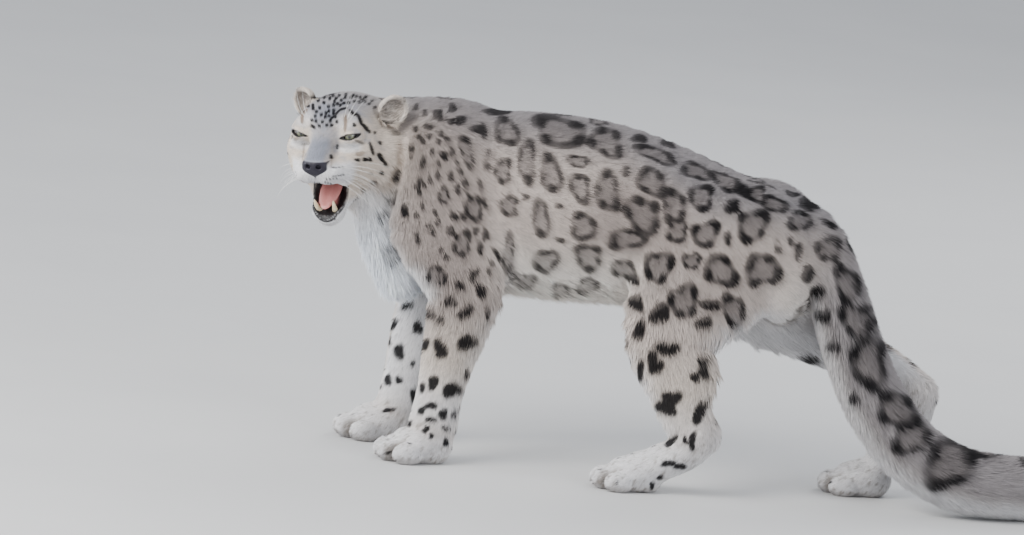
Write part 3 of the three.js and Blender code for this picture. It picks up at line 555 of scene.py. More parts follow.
def surface_net(values, low, step):
    """One vertex in each crossed cell, at the mean of the crossings of its twelve edges, and one
    face of four round each crossed edge."""
    inside = values < 0
    cells = [n - 1 for n in values.shape]
    corners = [np.array([(n >> 2) & 1, (n >> 1) & 1, n & 1]) for n in range(8)]
    blocks = (tuple(slice(c, c + n) for c, n in zip(corner, cells)) for corner in corners)
    count = sum(inside[block].astype(int) for block in blocks)
    crossed = np.argwhere((count > 0) & (count < 8))
    index = np.full(cells, -1)
    index[tuple(crossed.T)] = np.arange(len(crossed))
    total, number = np.zeros((len(crossed), 3)), np.zeros(len(crossed))
    for axis in range(3):
        for corner in (c for c in corners if c[axis] == 0):
            a = values[tuple((crossed + corner).T)]
            b = values[tuple((crossed + corner + np.eye(3, dtype=int)[axis]).T)]
            hit = (a < 0) != (b < 0)
            t = np.where(hit, a / np.where(hit, a - b, 1), 0)
            point = crossed + corner + t[:, None] * np.eye(3)[axis]
            total += point * hit[:, None]
            number += hit
    faces = []
    for axis in range(3):
        step_axis = np.eye(3, dtype=int)[axis]
        n = values.shape
        first = inside[tuple(slice(0, n[i] - step_axis[i]) for i in range(3))]
        second = inside[tuple(slice(step_axis[i], n[i]) for i in range(3))]
        edge = np.argwhere(first != second)
        starts = first[tuple(edge.T)]
        j, k = [np.eye(3, dtype=int)[n] for n in ((axis + 1) % 3, (axis + 2) % 3)]
        quad = np.stack([index[tuple((edge - off).T)] for off in (j + k, k, 0 * j, j)], 1)
        faces.append(np.where(starts[:, None], quad, quad[:, ::-1]))
    return low + total / number[:, None] * step, np.vstack(faces)


def triangles_of(points, quads):
    """Each face of four cut along its shorter diagonal."""
    a, b, c, d = (points[quads[:, n]] for n in range(4))
    first = np.linalg.norm(a - c, axis=1) <= np.linalg.norm(b - d, axis=1)
    one = np.where(first[:, None], quads[:, [0, 1, 2]], quads[:, [0, 1, 3]])
    two = np.where(first[:, None], quads[:, [0, 2, 3]], quads[:, [1, 2, 3]])
    return np.vstack([one, two])


# %% Refining and sliding to the surface
def slope(field, points, step=0.8):
    """Gradient by central differences."""
    ahead_less_behind = [field(points + step * e) - field(points - step * e) for e in np.eye(3)]
    return np.stack(ahead_less_behind, 1) / (2 * step)


def slide(field, points, times, most=3.0):
    """Newton's step: each point moves along the slope by the field over the slope's length."""
    for _ in range(times):
        g = slope(field, points)
        move = -field(points)[:, None] * g / np.maximum((g * g).sum(1), 0.05)[:, None]
        far = np.linalg.norm(move, axis=1, keepdims=True)
        points = points + move * np.minimum(1, most / np.maximum(far, 1e-9))
    return points


def relax(points, faces, share=0.5):
    """Each point moves towards the mean of its neighbours."""
    a, b = faces.ravel(), np.roll(faces, -1, axis=1).ravel()
    ends, other = np.concatenate([a, b]), np.concatenate([b, a])
    count = np.bincount(ends, minlength=len(points))
    mean = np.stack([np.bincount(ends, points[other, n], len(points)) for n in range(3)], 1) / count[:, None]
    return points + share * (mean - points)


def refine(points, faces, wanted):
    """Halves each edge whose two ends are wanted, and cuts the faces to suit: one cut edge makes
    two faces, two make three, and three make four."""
    edges = np.stack([faces, np.roll(faces, -1, axis=1)], 2)
    low, high = edges.min(2), edges.max(2)
    cut = wanted[low] & wanted[high]
    key = low.astype(np.int64) * len(points) + high
    unique, back = np.unique(key[cut], return_inverse=True)
    middle = np.full(faces.shape, -1)
    middle[cut] = back + len(points)
    added = (points[unique // len(points)] + points[unique % len(points)]) / 2
    made = [faces[~cut.any(1)]]
    for number, lead in ((1, lambda c: np.argmax(c, 1)), (2, lambda c: (np.argmin(c, 1) + 1) % 3),
                         (3, lambda c: np.zeros(len(c), int))):
        rows = cut.sum(1) == number
        order = (lead(cut[rows])[:, None] + np.arange(3)) % 3
        a, b, c = np.take_along_axis(faces[rows], order, 1).T
        p, q, r = np.take_along_axis(middle[rows], order, 1).T
        cuts = {1: [(a, p, c), (p, b, c)], 2: [(p, b, q), (a, p, q), (a, q, c)],
                3: [(a, p, r), (p, b, q), (r, q, c), (p, q, r)]}[number]
        made += [np.stack(cut_face, 1) for cut_face in cuts]
    return np.vstack([points, added]), np.vstack(made)


# %% The skin
GRID = 5.6
low = np.array([-420.0, -262.0, -12.0])
cells = [int(n) for n in np.ceil((np.array([1022.0, 312.0, 600.0]) - low) / GRID)]
samples = sample_grid(cast_field, low, cells, GRID)
skin_points, quads = surface_net(samples, low, GRID)
skin_faces = triangles_of(skin_points, quads)
skin_points = slide(skin_field, relax(skin_points, skin_faces), 2)
print("net:", len(skin_points), "points,", len(skin_faces), "faces")


def near_face(points, grow):
    """Whether a point is on the head, or with a smaller grow close to eyes, nose, mouth or ears."""
    p = to_head(points)
    if grow > 20:
        return np.linalg.norm((p - [30, 0, -30]) / [100, 105, 110], axis=1) < 1
    spots = [(EYE * [1, s, 1], 24) for s in (-1, 1)] + [([112, 0, -24], 24), ([70, 0, -62], 34)]
    spots += [(ear_axes(name)[0], 26) for name in EARS]
    return np.min([np.linalg.norm(p - c, axis=1) - r for c, r in spots], axis=0) < grow


for grow, times in ((40, 2), (4, 2)):
    skin_points, skin_faces = refine(skin_points, skin_faces, near_face(skin_points, grow))
    skin_points = slide(skin_field, skin_points, times, 2.0)
print("skin:", len(skin_points), "points,", len(skin_faces), "faces")

# %% [markdown]
# ## The way that the hair lies
# Hair runs from the nose back over the skull, down the neck and along the flank, down each leg and
# out to the tip of the tail. Each region has its own direction, and they are shared by the weights
# above, so that the coat turns smoothly from one to the next.

# %% Normals, regions and lie of the hair on the skin
skin_normal = unit(slope(skin_field, skin_points, 1.5))
skin_weight = region_weights(skin_points)
skin_depth = coat_depth(skin_points, skin_weight)


def limb_direction(points, forms, sign=1):
    """Direction of the nearest span of the nearest limb."""
    best = np.full(len(points), 1e9)
    out = np.zeros((len(points), 3))
    for form in forms:
        value, span, _, _ = form.measure(points)
        nearer = value < best
        best[nearer] = value[nearer]
        out[nearer] = sign * form.forward[span[nearer]]
    return out


def head_direction(points):
    """Back from the nose, outwards over the cheeks, down the ruff and throat, and up the ears."""
    p = to_head(points)
    v = np.tile([-1.0, 0, 0], (len(p), 1))
    v[:, 1] += 0.9 * np.tanh(p[:, 1] / 40) * smooth(p[:, 0], -10, 40)
    v[:, 2] += -0.9 * smooth(-p[:, 2], -10, 40) + 0.5 * smooth(p[:, 2], 0, 40) * smooth(p[:, 0], 20, 60)
    for name in EARS:
        share = on_ear(p, name)[:, None]
        v = v * (1 - share) + share * ear_axes(name)[1][:, 2]
    return v @ HEAD_TURN.T


def leg_direction(points, legs, high):
    """Down each leg's own line, and high up, where it joins the body, back and down."""
    share = smooth(points[:, 2], 210, 330)[:, None]
    return limb_direction(points, [LEGS[name] for name in legs]) * (1 - share) + share * np.array(high)


def lie_of_hair(points, normals):
    """Directions of the regions shared by weight, a little drawn down, laid flat on the skin. The
    weights spread wider here, so that the coat turns slowly."""
    weights = region_weights(points, 26)
    regions = [
        np.tile([1.0, 0, -0.28], (len(points), 1)), limb_direction(points, [NECK], -1) + [0, 0, -0.35],
        limb_direction(points, [BIB]), limb_direction(points, [TAIL]),
        leg_direction(points, ["fore_left", "fore_right"], [0.35, 0, -0.95]),
        leg_direction(points, ["hind_left", "hind_right"], [0.55, 0, -0.85]),
        np.tile([-0.8, 0, -0.6], (len(points), 1)), head_direction(points),
    ]
    flow = sum(weights[:, n, None] * v for n, v in enumerate(regions))
    flow -= (flow * normals).sum(1)[:, None] * normals
    return unit(flow)


skin_flow = lie_of_hair(skin_points, skin_normal)
print("mean depth of the coat:", round(float(skin_depth.mean()), 1), "mm")

# %% [markdown]
# ## Where the camera stands
# The photograph was taken from far off with a long lens, a little from behind the shoulder and from
# above, and the picture is tilted because the rocks under the feet are. We fix the camera first,
# because the rosettes are set along its lines of sight. One step of the picture is SCALE millimetres
# at the animal.

# %% The camera
SCALE = 1.6
PICTURE = (1024, 535)
SENSOR = 36
AZIMUTH, ELEVATION, ROLL = np.radians([6.0, 9.0, 6.0])
IMAGE_CENTRE = np.array([0.0, 0.0, 313.8])
ca, sa, ce, se = np.cos(AZIMUTH), np.sin(AZIMUTH), np.cos(ELEVATION), np.sin(ELEVATION)
level_right, level_up = np.array([ca, sa, 0]), np.array([-sa * se, ca * se, ce])
TO_CAMERA = np.array([sa * ce, -ca * ce, se])
RIGHT = level_right * np.cos(ROLL) + level_up * np.sin(ROLL)
UP = level_up * np.cos(ROLL) - level_right * np.sin(ROLL)
CAMERA_FAR = 24000.0

eye_low, eye_high = (np.array(c) * 1000 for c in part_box("eye_left"))
SHIFT = from_head([EYE])[0] - (eye_low + eye_high) / 2
SHIFT[2] = 0
print("the row's origin in the animal's frame:", SHIFT.round(2))


def to_row(points):
    """Millimetres of the animal's frame as metres of the row."""
    return (np.asarray(points) - SHIFT) / 1000


camera_data = bpy.data.cameras.new("camera")
camera_data.sensor_width = SENSOR
camera_data.lens = SENSOR * CAMERA_FAR / (PICTURE[0] * SCALE)
camera_data.clip_end = 60
camera = bpy.data.objects.new("camera", camera_data)
bpy.context.scene.collection.objects.link(camera)
pose = np.eye(4)
pose[:3, 0], pose[:3, 1], pose[:3, 2] = RIGHT, UP, TO_CAMERA
pose[:3, 3] = to_row(IMAGE_CENTRE + TO_CAMERA * CAMERA_FAR)
camera.matrix_world = pose.T.tolist()
bpy.context.scene.camera = camera

# %% [markdown]
# ## Rosettes and spots
# A snow leopard's coat has broken smoky rings on its flanks and tail, solid spots on its neck and
# legs, and fine dots on its crown and feet. Painting them on an image would tie them to one view.
# Each mark is a place on the skin with a width, a height and a tilt instead, and the colour of any
# point is worked out from its distance to the marks near it, on the skin and in the hair alike.

# %% Marks of the near side
# Most were read in the photograph, and a few along the back were put in to suit. Each mark is x
# and y in the picture, width and height. Its tilt in degrees, and 1 for a ring, are left off where
# they are 0.
NECK_MARKS = [
    (439, 115, 9, 12), (453, 108, 8, 8), (452, 122, 8, 5), (462, 121, 10, 8), (479, 130, 12, 9),
    (412, 152, 4, 17), (422, 173, 4, 38, -12), (439, 172, 4, 20, -3), (450, 144, 4, 16, 21),
    (455, 158, 4, 18, 20), (461, 172, 4, 16, 22), (467, 188, 4, 20, 17), (485, 132, 5, 17),
    (489, 163, 6, 23), (484, 197, 4, 34, 11), (452, 178, 5, 8), (459, 191, 5, 8), (465, 218, 6, 8),
    (477, 233, 6, 7), (481, 250, 4, 14), (498, 256, 4, 14, 20), (468, 153, 12, 30, 20, 1),
    (445, 197, 8, 18, 0, 1), (475, 210, 14, 26, 0, 1), (445, 157, 8, 9), (455, 218, 7, 8),
    (452, 233, 7, 8), (487, 237, 6, 12), (460, 287, 9, 9), (420, 290, 10, 7, -25), (482, 293, 10, 13),
    (475, 277, 6, 16, -20), (463, 245, 17, 22, 0, 1), (437, 277, 16, 19, 0, 1), (450, 304, 14, 8),
    (388, 214, 5, 22, -12), (398, 178, 6, 16, -20), (394, 200, 4, 16, -20), (405, 213, 8, 12),
    (381, 222, 4, 8),
]
NECK_DOTS = [
    (417, 107), (426, 113), (427, 126), (432, 128), (416, 129), (420, 138), (424, 143), (430, 137),
    (440, 143), (442, 135), (433, 153), (431, 182), (425, 187), (417, 188), (420, 194), (423, 208),
    (417, 217), (436, 214), (439, 224), (429, 228), (434, 235), (417, 237), (419, 243), (442, 252),
    (447, 259), (493, 265), (490, 273),
]
FLANK_MARKS = [
    (508, 132, 23, 26, 0, 1), (504, 172, 15, 22, 0, 1), (528, 163, 17, 38, 0, 1),
    (552, 175, 20, 34, 0, 1), (510, 207, 18, 17, 0, 1), (542, 220, 16, 34, 0, 1),
    (561, 132, 50, 28, -6, 1), (581, 189, 18, 28, 0, 1), (579, 162, 19, 11, 0, 1),
    (584, 228, 26, 23, 0, 1), (589, 258, 27, 23, 0, 1), (547, 262, 20, 25, -25, 1),
    (510, 256, 9, 40, 0, 1), (527, 283, 18, 16, 0, 1), (589, 287, 20, 14, 0, 1),
    (563, 292, 18, 12, 0, 1), (527, 198, 6, 5), (560, 207, 6, 5), (561, 241, 6, 5),
    (608, 192, 24, 34, 0, 1), (627, 172, 7, 9), (652, 183, 29, 25, -25, 1), (643, 217, 32, 36, 0, 1),
    (628, 240, 33, 20, 0, 1), (624, 270, 20, 18, 0, 1), (607, 143, 30, 28, -15, 1),
    (656, 155, 38, 13, -20, 1), (498, 112, 26, 6, 4), (640, 139, 16, 7, -18), (668, 144, 16, 5, -20),
    (697, 172, 28, 15, -15, 1), (674, 207, 23, 28, 0, 1), (701, 198, 24, 22, 0, 1),
    (726, 182, 26, 16, -20, 1), (742, 191, 18, 12, -20), (732, 208, 16, 13), (757, 195, 17, 14, 0, 1),
    (774, 205, 23, 15, -15, 1), (792, 193, 14, 6, -30), (806, 206, 18, 7, -30),
    (677, 232, 19, 21, 0, 1), (705, 235, 23, 26, 0, 1), (752, 227, 29, 30, 0, 1), (727, 240, 5, 14),
    (800, 222, 20, 19, -25, 1), (700, 152, 26, 5, -10), (728, 160, 26, 6, -14), (756, 173, 24, 6, -20),
]
THIGH_MARKS = [
    (658, 268, 24, 32, 0, 1), (691, 262, 15, 16, 0, 1), (720, 272, 30, 29, 0, 1),
    (762, 271, 30, 34, 0, 1), (777, 249, 5, 18), (790, 242, 6, 8), (798, 253, 7, 17),
    (807, 277, 12, 12), (634, 282, 8, 10), (635, 304, 14, 16), (683, 302, 24, 34, 10, 1),
    (659, 315, 20, 20), (710, 306, 19, 11), (703, 325, 16, 14), (733, 312, 20, 32, 0, 1),
    (638, 332, 12, 18, -20), (667, 350, 26, 13, 5), (655, 367, 18, 13), (651, 358, 9, 13),
    (640, 371, 6, 20), (704, 362, 16, 7, 5), (703, 374, 11, 14), (694, 378, 8, 10), (671, 398, 18, 14),
    (665, 408, 20, 15), (699, 413, 10, 26, -25), (653, 417, 7, 14), (670, 441, 14, 5, 35),
    (691, 441, 6, 17), (684, 440, 4, 6), (668, 463, 18, 4), (679, 466, 10, 5), (651, 485, 4, 6),
    (659, 477, 5, 3), (664, 483, 4, 9, 30), (674, 488, 8, 3), (655, 497, 4, 4), (642, 493, 4, 3),
    (906, 351, 6, 6),
]
FORELEG_MARKS = [
    (430, 316, 9, 9), (440, 322, 9, 6, -15), (466, 314, 22, 8, 35), (488, 317, 4, 8),
    (440, 350, 12, 20, 8), (467, 344, 22, 13, 28), (425, 345, 6, 11), (433, 383, 10, 13),
    (452, 391, 17, 15, 20), (467, 376, 5, 8), (431, 406, 11, 6), (443, 415, 9, 9), (454, 416, 4, 7),
    (421, 411, 5, 8), (431, 420, 13, 3), (446, 429, 9, 3, -30), (409, 424, 4, 5), (427, 428, 4, 4),
    (424, 431, 3, 3), (431, 436, 4, 4), (446, 443, 5, 6), (390, 298, 13, 9), (406, 307, 11, 8),
    (391, 325, 10, 10), (417, 329, 8, 14), (398, 353, 11, 13), (412, 365, 4, 5), (398, 381, 7, 6),
    (387, 381, 5, 12), (414, 398, 8, 13), (422, 388, 5, 8), (388, 411, 12, 3),
]
TAIL_MARKS = [
    (810, 203, 18, 7, -28), (830, 225, 15, 6, -35), (829, 250, 22, 26, 0, 1), (847, 286, 24, 34, 0, 1),
    (856, 322, 30, 34, 0, 1), (874, 322, 5, 26, 10), (868, 364, 38, 46, 0, 1), (897, 411, 40, 32, 0, 1),
    (911, 438, 34, 34, 0, 1), (950, 463, 48, 50, 0, 1), (808, 272, 12, 10), (817, 294, 13, 14),
    (822, 318, 14, 15), (832, 349, 14, 10), (853, 401, 12, 9), (811, 362, 18, 9), (891, 345, 7, 18),
]

# %% Marks of the face
# A stroke is its two ends in the picture, its width and how dark it is. A mark of the face is its
# place, width, height and darkness, and a row of whisker spots is its two ends and their number.
# Some faint strokes are painted shade: the line of shadow in the furrow above the eye near x 347, the thin
# lines along the left edge of the bridge and in the groove beside the nose pad, and the arc of shade behind
# the cheek at the edge of the ruff, from x 401 down to 379.
FACE_STROKES = [
    (337.2, 114.4, 341.6, 110.0, 2.4, 0.9), (341.6, 110.0, 347.4, 108.6, 2.6, 0.95),
    (351.3, 110.7, 355.5, 115.7, 3.2, 1.0), (358.8, 115.7, 362.4, 123.0, 4.4, 1.0),
    (362.6, 124.0, 368.0, 129.8, 4.6, 1.0), (302.8, 122.3, 303.2, 114.8, 3.4, 0.57),
    (303.2, 114.8, 307.4, 110.3, 3.0, 0.5), (346.8, 116.5, 346.4, 129.5, 4.0, 0.57),
    (371.2, 143.5, 374.4, 155.0, 3.4, 0.95), (380.4, 155.0, 383.9, 161.8, 5.0, 1.0),
    (333.4, 157.0, 332.9, 168.0, 1.4, 0.4), (304.9, 145.0, 303.6, 160.0, 1.6, 0.45),
    (357.0, 141.5, 364.5, 144.0, 3.0, 0.6), (386.0, 122.5, 393.0, 123.5, 4.0, 0.9),
    (395.0, 132.5, 400.0, 134.0, 4.0, 0.85), (401.5, 146.0, 400.5, 166.0, 7.0, 0.34),
    (400.5, 166.0, 392.0, 184.0, 7.0, 0.34), (392.0, 184.0, 379.0, 194.5, 6.0, 0.3),
]
# The wide faint mark under the eye at 361.5, 154.5 is painted shade.
FACE_MARKS = [
    (355.5, 125.6, 3.6, 4, 0.95), (370.4, 132.2, 3, 4.2, 0.95), (375.8, 133.1, 2.6, 4, 0.9),
    (387.0, 165.3, 4.6, 4.4, 1), (381.2, 143.4, 4, 4.2, 0.95), (338.9, 147.5, 3.2, 5, 0.9),
    (332.7, 157.4, 4, 4.2, 0.95), (358.8, 160.8, 5.4, 3.6, 1), (366.6, 160.4, 5.4, 4.4, 1),
    (371.4, 160.3, 4, 4.2, 1), (382.8, 174.0, 5.6, 3.8, 1), (375.0, 183.6, 6.5, 5.4, 0.75),
    (364.2, 191.8, 6, 4.4, 0.7), (372.0, 174.4, 4, 3, 0.4), (361.5, 154.5, 9, 5, 0.38),
    (297.0, 139.5, 5, 4, 0.3),
]
WHISKER_ROWS = [
    (335.0, 168.2, 344.0, 167.6, 4), (335.0, 177.2, 344.9, 175.6, 5), (328.0, 180.2, 338.0, 179.4, 4),
    (326.6, 183.2, 335.0, 185.6, 4), (319.5, 216.0, 337.5, 215.4, 5), (322.0, 219.8, 336.0, 219.4, 4),
]
CROWN_DOTS = [
    (313.6, 105.7), (314, 109), (320.7, 108.2), (324.8, 103.2), (334.8, 105.7), (314, 96.6),
    (324.8, 97.8), (333.9, 95.8), (330.6, 99), (346, 97.8), (342.2, 100.7), (355.5, 101.6),
    (360.5, 102.4), (363.8, 99.9), (357.1, 96.6), (349.7, 103.2), (316.1, 116.5), (312.8, 120.6),
    (316.9, 121.5), (322.3, 115.2), (326.9, 113.2), (326.5, 117.3), (330.2, 116.5), (333.1, 118.1),
    (331.4, 121.5), (328.1, 125.6), (333.1, 125.6), (323.6, 122.3), (312.4, 126.4), (314.9, 127.7),
    (320.2, 126.4), (336.4, 117.3), (338.1, 122.3), (334.8, 110.7), (334.8, 114), (319, 101),
    (340, 95.5), (352, 97.5), (345, 103.6), (338.5, 104.2), (329.5, 107), (370, 104), (376, 107.5),
    (327, 94.5), (337, 98.5), (346.5, 94.5), (354, 95.2), (361, 97.5), (366.5, 96.8), (366, 101.5),
    (373, 100.5), (335.5, 101.8), (320, 95.5), (317.5, 112), (330, 111.4), (341.2, 105.6),
    (309.5, 100.5), (309, 106.5),
]

# The dots are alike: width, height, tilt, ring and how dark.
WHISKER_DOT = (1.7, 1.9, 0, 0, 0.85)
CROWN_DOT = (3.4, 3.6, 0, 0, 0.97)
NECK_DOT = (4, 5, 0, 0, 0.9)


def stroke_row(x0, y0, x1, y1, width, dark):
    """A stroke as a mark: its middle, length and width, and its slant from the picture's level."""
    slant = np.degrees(np.arctan2(y0 - y1, x1 - x0))
    return (x0 + x1) / 2, (y0 + y1) / 2, np.hypot(x1 - x0, y1 - y0) + width, width, slant, 0, dark


face_rows = [stroke_row(*stroke) for stroke in FACE_STROKES]
face_rows += [(x, y, wide, high, 0, 0, dark) for x, y, wide, high, dark in FACE_MARKS]
face_rows += [(x0 + (x1 - x0) * t, y0 + (y1 - y0) * t, *WHISKER_DOT)
              for x0, y0, x1, y1, count in WHISKER_ROWS for t in np.linspace(0, 1, count)]
face_rows += [(x, y, *CROWN_DOT) for x, y in CROWN_DOTS]


# %% From the picture to the skin
MARK_GROWTH, FACE_GROWTH = 2.0, 0.3


def sight(px, py):
    """Points of the image plane for places in the picture, counted from its upper left corner."""
    right, up = (px - PICTURE[0] / 2) * SCALE, (PICTURE[1] / 2 - py) * SCALE
    return IMAGE_CENTRE + right[:, None] * RIGHT + up[:, None] * UP


def onto_coat(points, reach=420.0):
    """Each point moves away from the camera until it meets the coat, by the field's own distance."""
    at = points + TO_CAMERA * reach
    for _ in range(60):
        at = at - TO_CAMERA * np.clip(animal(at) * 0.8, -20, 40)[:, None]
    return at, np.abs(animal(at)) < 3


body_marks = NECK_MARKS + FLANK_MARKS + THIGH_MARKS + FORELEG_MARKS + TAIL_MARKS
rows = [(*(*mark, 0, 0)[:6], 1.0) for mark in body_marks]
rows = np.array(face_rows + rows + [(x, y, *NECK_DOT) for x, y in NECK_DOTS])
on_face = np.arange(len(rows)) < len(face_rows)
mark_at, met = onto_coat(sight(rows[:, 0], rows[:, 1]))
rows, mark_at, on_face = rows[met], mark_at[met], on_face[met]
tilt = np.radians(rows[:, 4])[:, None]
mark_wide = np.cos(tilt) * RIGHT + np.sin(tilt) * UP
mark_high = -np.sin(tilt) * RIGHT + np.cos(tilt) * UP
mark_size = (rows[:, 2:4] + np.where(on_face, FACE_GROWTH, MARK_GROWTH)[:, None]) * SCALE / 2
mark_ring, mark_dark = rows[:, 5] > 0.5, rows[:, 6]
print("marks on the near side and face:", len(rows), "and left out, off the body:", int((~met).sum()))

# %% The far cheek
# A cat's face is marked nearly alike on both sides, so the near cheek's marks are mirrored.
MIRROR = np.array([1.0, -1.0, 1.0])
near = on_face & (to_head(mark_at)[:, 1] > 12)
far_at = slide(animal, from_head(to_head(mark_at[near]) * MIRROR), 4, 12.0)
hidden = unit(slope(animal, far_at)) @ TO_CAMERA < 0.2
far_wide, far_high = ((v[near] @ HEAD_TURN * MIRROR) @ HEAD_TURN.T for v in (mark_wide, mark_high))
mark_at = np.vstack([mark_at, far_at[hidden]])
mark_wide, mark_high = np.vstack([mark_wide, far_wide[hidden]]), np.vstack([mark_high, far_high[hidden]])
mark_size, mark_ring, mark_dark = (
    np.concatenate([v, v[:len(near)][near][hidden]]) for v in (mark_size, mark_ring, mark_dark))
print("marks mirrored onto the far cheek:", int(hidden.sum()))

# %% [markdown]
# The side that the camera doesn't see has marks too. They are grown by the same rules: candidates are
# drawn on the skin in random order, and one stays only where no mark lies within the usual spacing.

# %% Marks of the hidden side
def mark_spacing(points, weights):
    """Spacing and half size of the marks of each region, in millimetres."""
    leg = 16 + 26 * smooth(points[:, 2], 60, 330)
    head = 12 + 18 * smooth(-to_head(points)[:, 0], -20, 40)
    spacing = [50, 34, 46, 62, leg, leg, 17, head]
    size = [19, 9, 8, 27, leg * 0.36, leg * 0.36, 3.4, head * 0.2]
    return shared(weights, spacing), shared(weights, size)


CANDIDATES = 9000
RING_FROM = 12
rng = np.random.default_rng(21)
order = rng.permutation(len(skin_points))[:CANDIDATES]
spots, normals, flows = skin_points[order], skin_normal[order], skin_flow[order]
spacing, half_size = mark_spacing(spots, skin_weight[order])
head_spots = to_head(spots)
shows = (normals @ TO_CAMERA > 0.25) & (animal(spots + TO_CAMERA * 40 + normals * 12) > 0)
front = (skin_weight[order, ON_HEAD] > 0.5) & (head_spots[:, 0] > 20)
pale = (normals[:, 2] < -0.35) & (spots[:, 2] < 330) | (skin_weight[order, ON_BIB] > 0.5)
eared = np.maximum(*(on_ear(head_spots, name) for name in EARS)) > 0.1
allowed = ~shows & ~front & ~pale & ~eared & (face_bareness(head_spots) < 0.1)
picked = []
taken = mark_at
for n in np.nonzero(allowed)[0]:
    gap = np.linalg.norm(taken - spots[n], axis=1).min()
    if gap > spacing[n]:
        picked.append(n)
        taken = np.vstack([taken, spots[n]])
picked = np.array(picked)
side = np.cross(normals[picked], flows[picked])
stretch = rng.uniform(0.8, 1.3, (len(picked), 2))
grown_ring = half_size[picked] > RING_FROM
mark_at = np.vstack([mark_at, spots[picked]])
mark_wide = np.vstack([mark_wide, unit(side)])
mark_high = np.vstack([mark_high, flows[picked]])
mark_size = np.vstack([mark_size, half_size[picked][:, None] * stretch])
mark_ring = np.concatenate([mark_ring, grown_ring])
mark_dark = np.concatenate([mark_dark, np.full(len(picked), 0.95)])
mark_seed = rng.uniform(0, 2 * np.pi, (len(mark_at), 3))
print("marks grown on the hidden side:", len(picked))


# %% How the marks cover the coat
SQUARENESS = 2.7
FAINT = 0.6
MARK_MARGIN = 14


def mark_cover(points):
    """How dark the marks make each point, how much of a ring's smoky middle it shows, and how far
    the faint marks of the face tint it tan, where some are painted shade in furrows and grooves,
    under an eye and behind the cheek. In a mark's own plane the two distances are scaled by its
    sizes, raised to SQUARENESS, added and brought back by the root, and the edge wavers with the
    angle. A ring is a band at about three quarters of the radius that swells into a few blots, and a long
    streak is broken into a chain."""
    dark, middle, tan_and_shade = np.zeros((3, len(points)))
    order = np.argsort(points[:, 0])
    xs = points[order, 0]
    for n in range(len(mark_at)):
        reach = 1.35 * mark_size[n].max() + 6
        margin = reach + MARK_MARGIN
        first, last = np.searchsorted(xs, [mark_at[n, 0] - margin, mark_at[n, 0] + margin])
        some = order[first:last]
        some = some[(np.abs(points[some] - mark_at[n]) < margin).all(1)]
        if not len(some):
            continue
        offset = points[some] - mark_at[n]
        a, b = offset @ mark_wide[n] / mark_size[n, 0], offset @ mark_high[n] / mark_size[n, 1]
        angle = np.arctan2(b, a)
        s = mark_seed[n]
        uneven = 1.0 if mark_size[n].min() > 3 else 0.4
        waver = 1 + uneven * (0.13 * np.sin(2 * angle + s[0]) + 0.10 * np.sin(3 * angle + s[1]))
        radius = (np.abs(a) ** SQUARENESS + np.abs(b) ** SQUARENESS) ** (1 / SQUARENESS) / waver
        close = np.linalg.norm(offset, axis=1) < reach + 10
        if mark_ring[n]:
            blots = np.sin((3 + n % 3) * angle + s[2]) + 0.6 * np.sin((5 + n % 2) * angle + s[0])
            band = smooth(radius + 0.07 * blots, 0.50, 0.70) * smooth(-radius + 0.04 * blots, -1.14, -0.98)
            here = band * np.clip(0.92 + 0.28 * blots, 0.55, 1)
            middle[some] = np.maximum(middle[some], smooth(-radius, -0.98, -0.7) * close * mark_dark[n])
        else:
            here = smooth(-radius, -1.12, -0.8)
            if mark_size[n, 1] > 2.8 * mark_size[n, 0] and mark_size[n, 1] > 11:
                here = here * np.clip(0.7 + 0.5 * np.sin(5.5 * b + s[1]), 0.3, 0.95)
        tint = tan_and_shade if mark_dark[n] < FAINT else dark
        tint[some] = np.maximum(tint[some], here * close * mark_dark[n])
    return dark, middle, tan_and_shade


def ripple(points, size, seed):
    """Soft noise: the mean of a few sine waves in random directions, about one size long."""
    draw = np.random.default_rng(seed)
    waves = unit(draw.normal(size=(7, 3))) * (2 * np.pi / size) * draw.uniform(0.7, 1.5, (7, 1))
    return np.sin(points @ waves.T + draw.uniform(0, 6.3, 7)).mean(1) * 1.6


# %% Colours of the coat
# The last of these, a blue white for the bib, is white in painted cool shade.
WARM_GREY, BEIGE, CREAM, WHITE, BLUE_SHADE_WHITE = (np.array(c) for c in (
    (0.21, 0.202, 0.215), (0.56, 0.485, 0.44), (0.72, 0.64, 0.56), (0.83, 0.82, 0.83), (0.80, 0.86, 0.94)))
BRIDGE_GREY, SMOKE, BLACK, FACE_CREAM = (np.array(c) for c in (
    (0.265, 0.28, 0.33), (0.13, 0.115, 0.112), (0.008, 0.0075, 0.009), (0.74, 0.645, 0.55)))
# Of the next four colours, the first darkens places on the flanks partly as painted shade and the ear cups
# as painted shade, the second darkens the feet, in the creases between the toes as painted shade, the third
# tints the faint face marks, some of them painted shade, and the fourth is the belly's white made brighter
# and warmer as painted light bounced from below.
DUSK_AND_SHADE, DIRT_AND_SHADE, TAN_AND_SHADE, BELLY_WHITE_AND_BOUNCE = (np.array(c) for c in (
    (0.30, 0.255, 0.235), (0.26, 0.22, 0.185), (0.23, 0.16, 0.11), (0.97, 0.91, 0.83)))
# Darker places on both sides of the body, partly the coat's greyer tone and partly painted shade: x, z,
# their half sizes and how dark they are.
DUSKY_AND_SHADED = [(-120, 400, 100, 150, 0.75), (-90, 240, 90, 120, 0.55), (205, 430, 90, 65, 0.75),
         (320, 350, 90, 70, 0.45)]


def toned(colour, other, share):
    """A colour mixed towards another by a share for each point."""
    return colour * (1 - share[:, None]) + other * share[:, None]


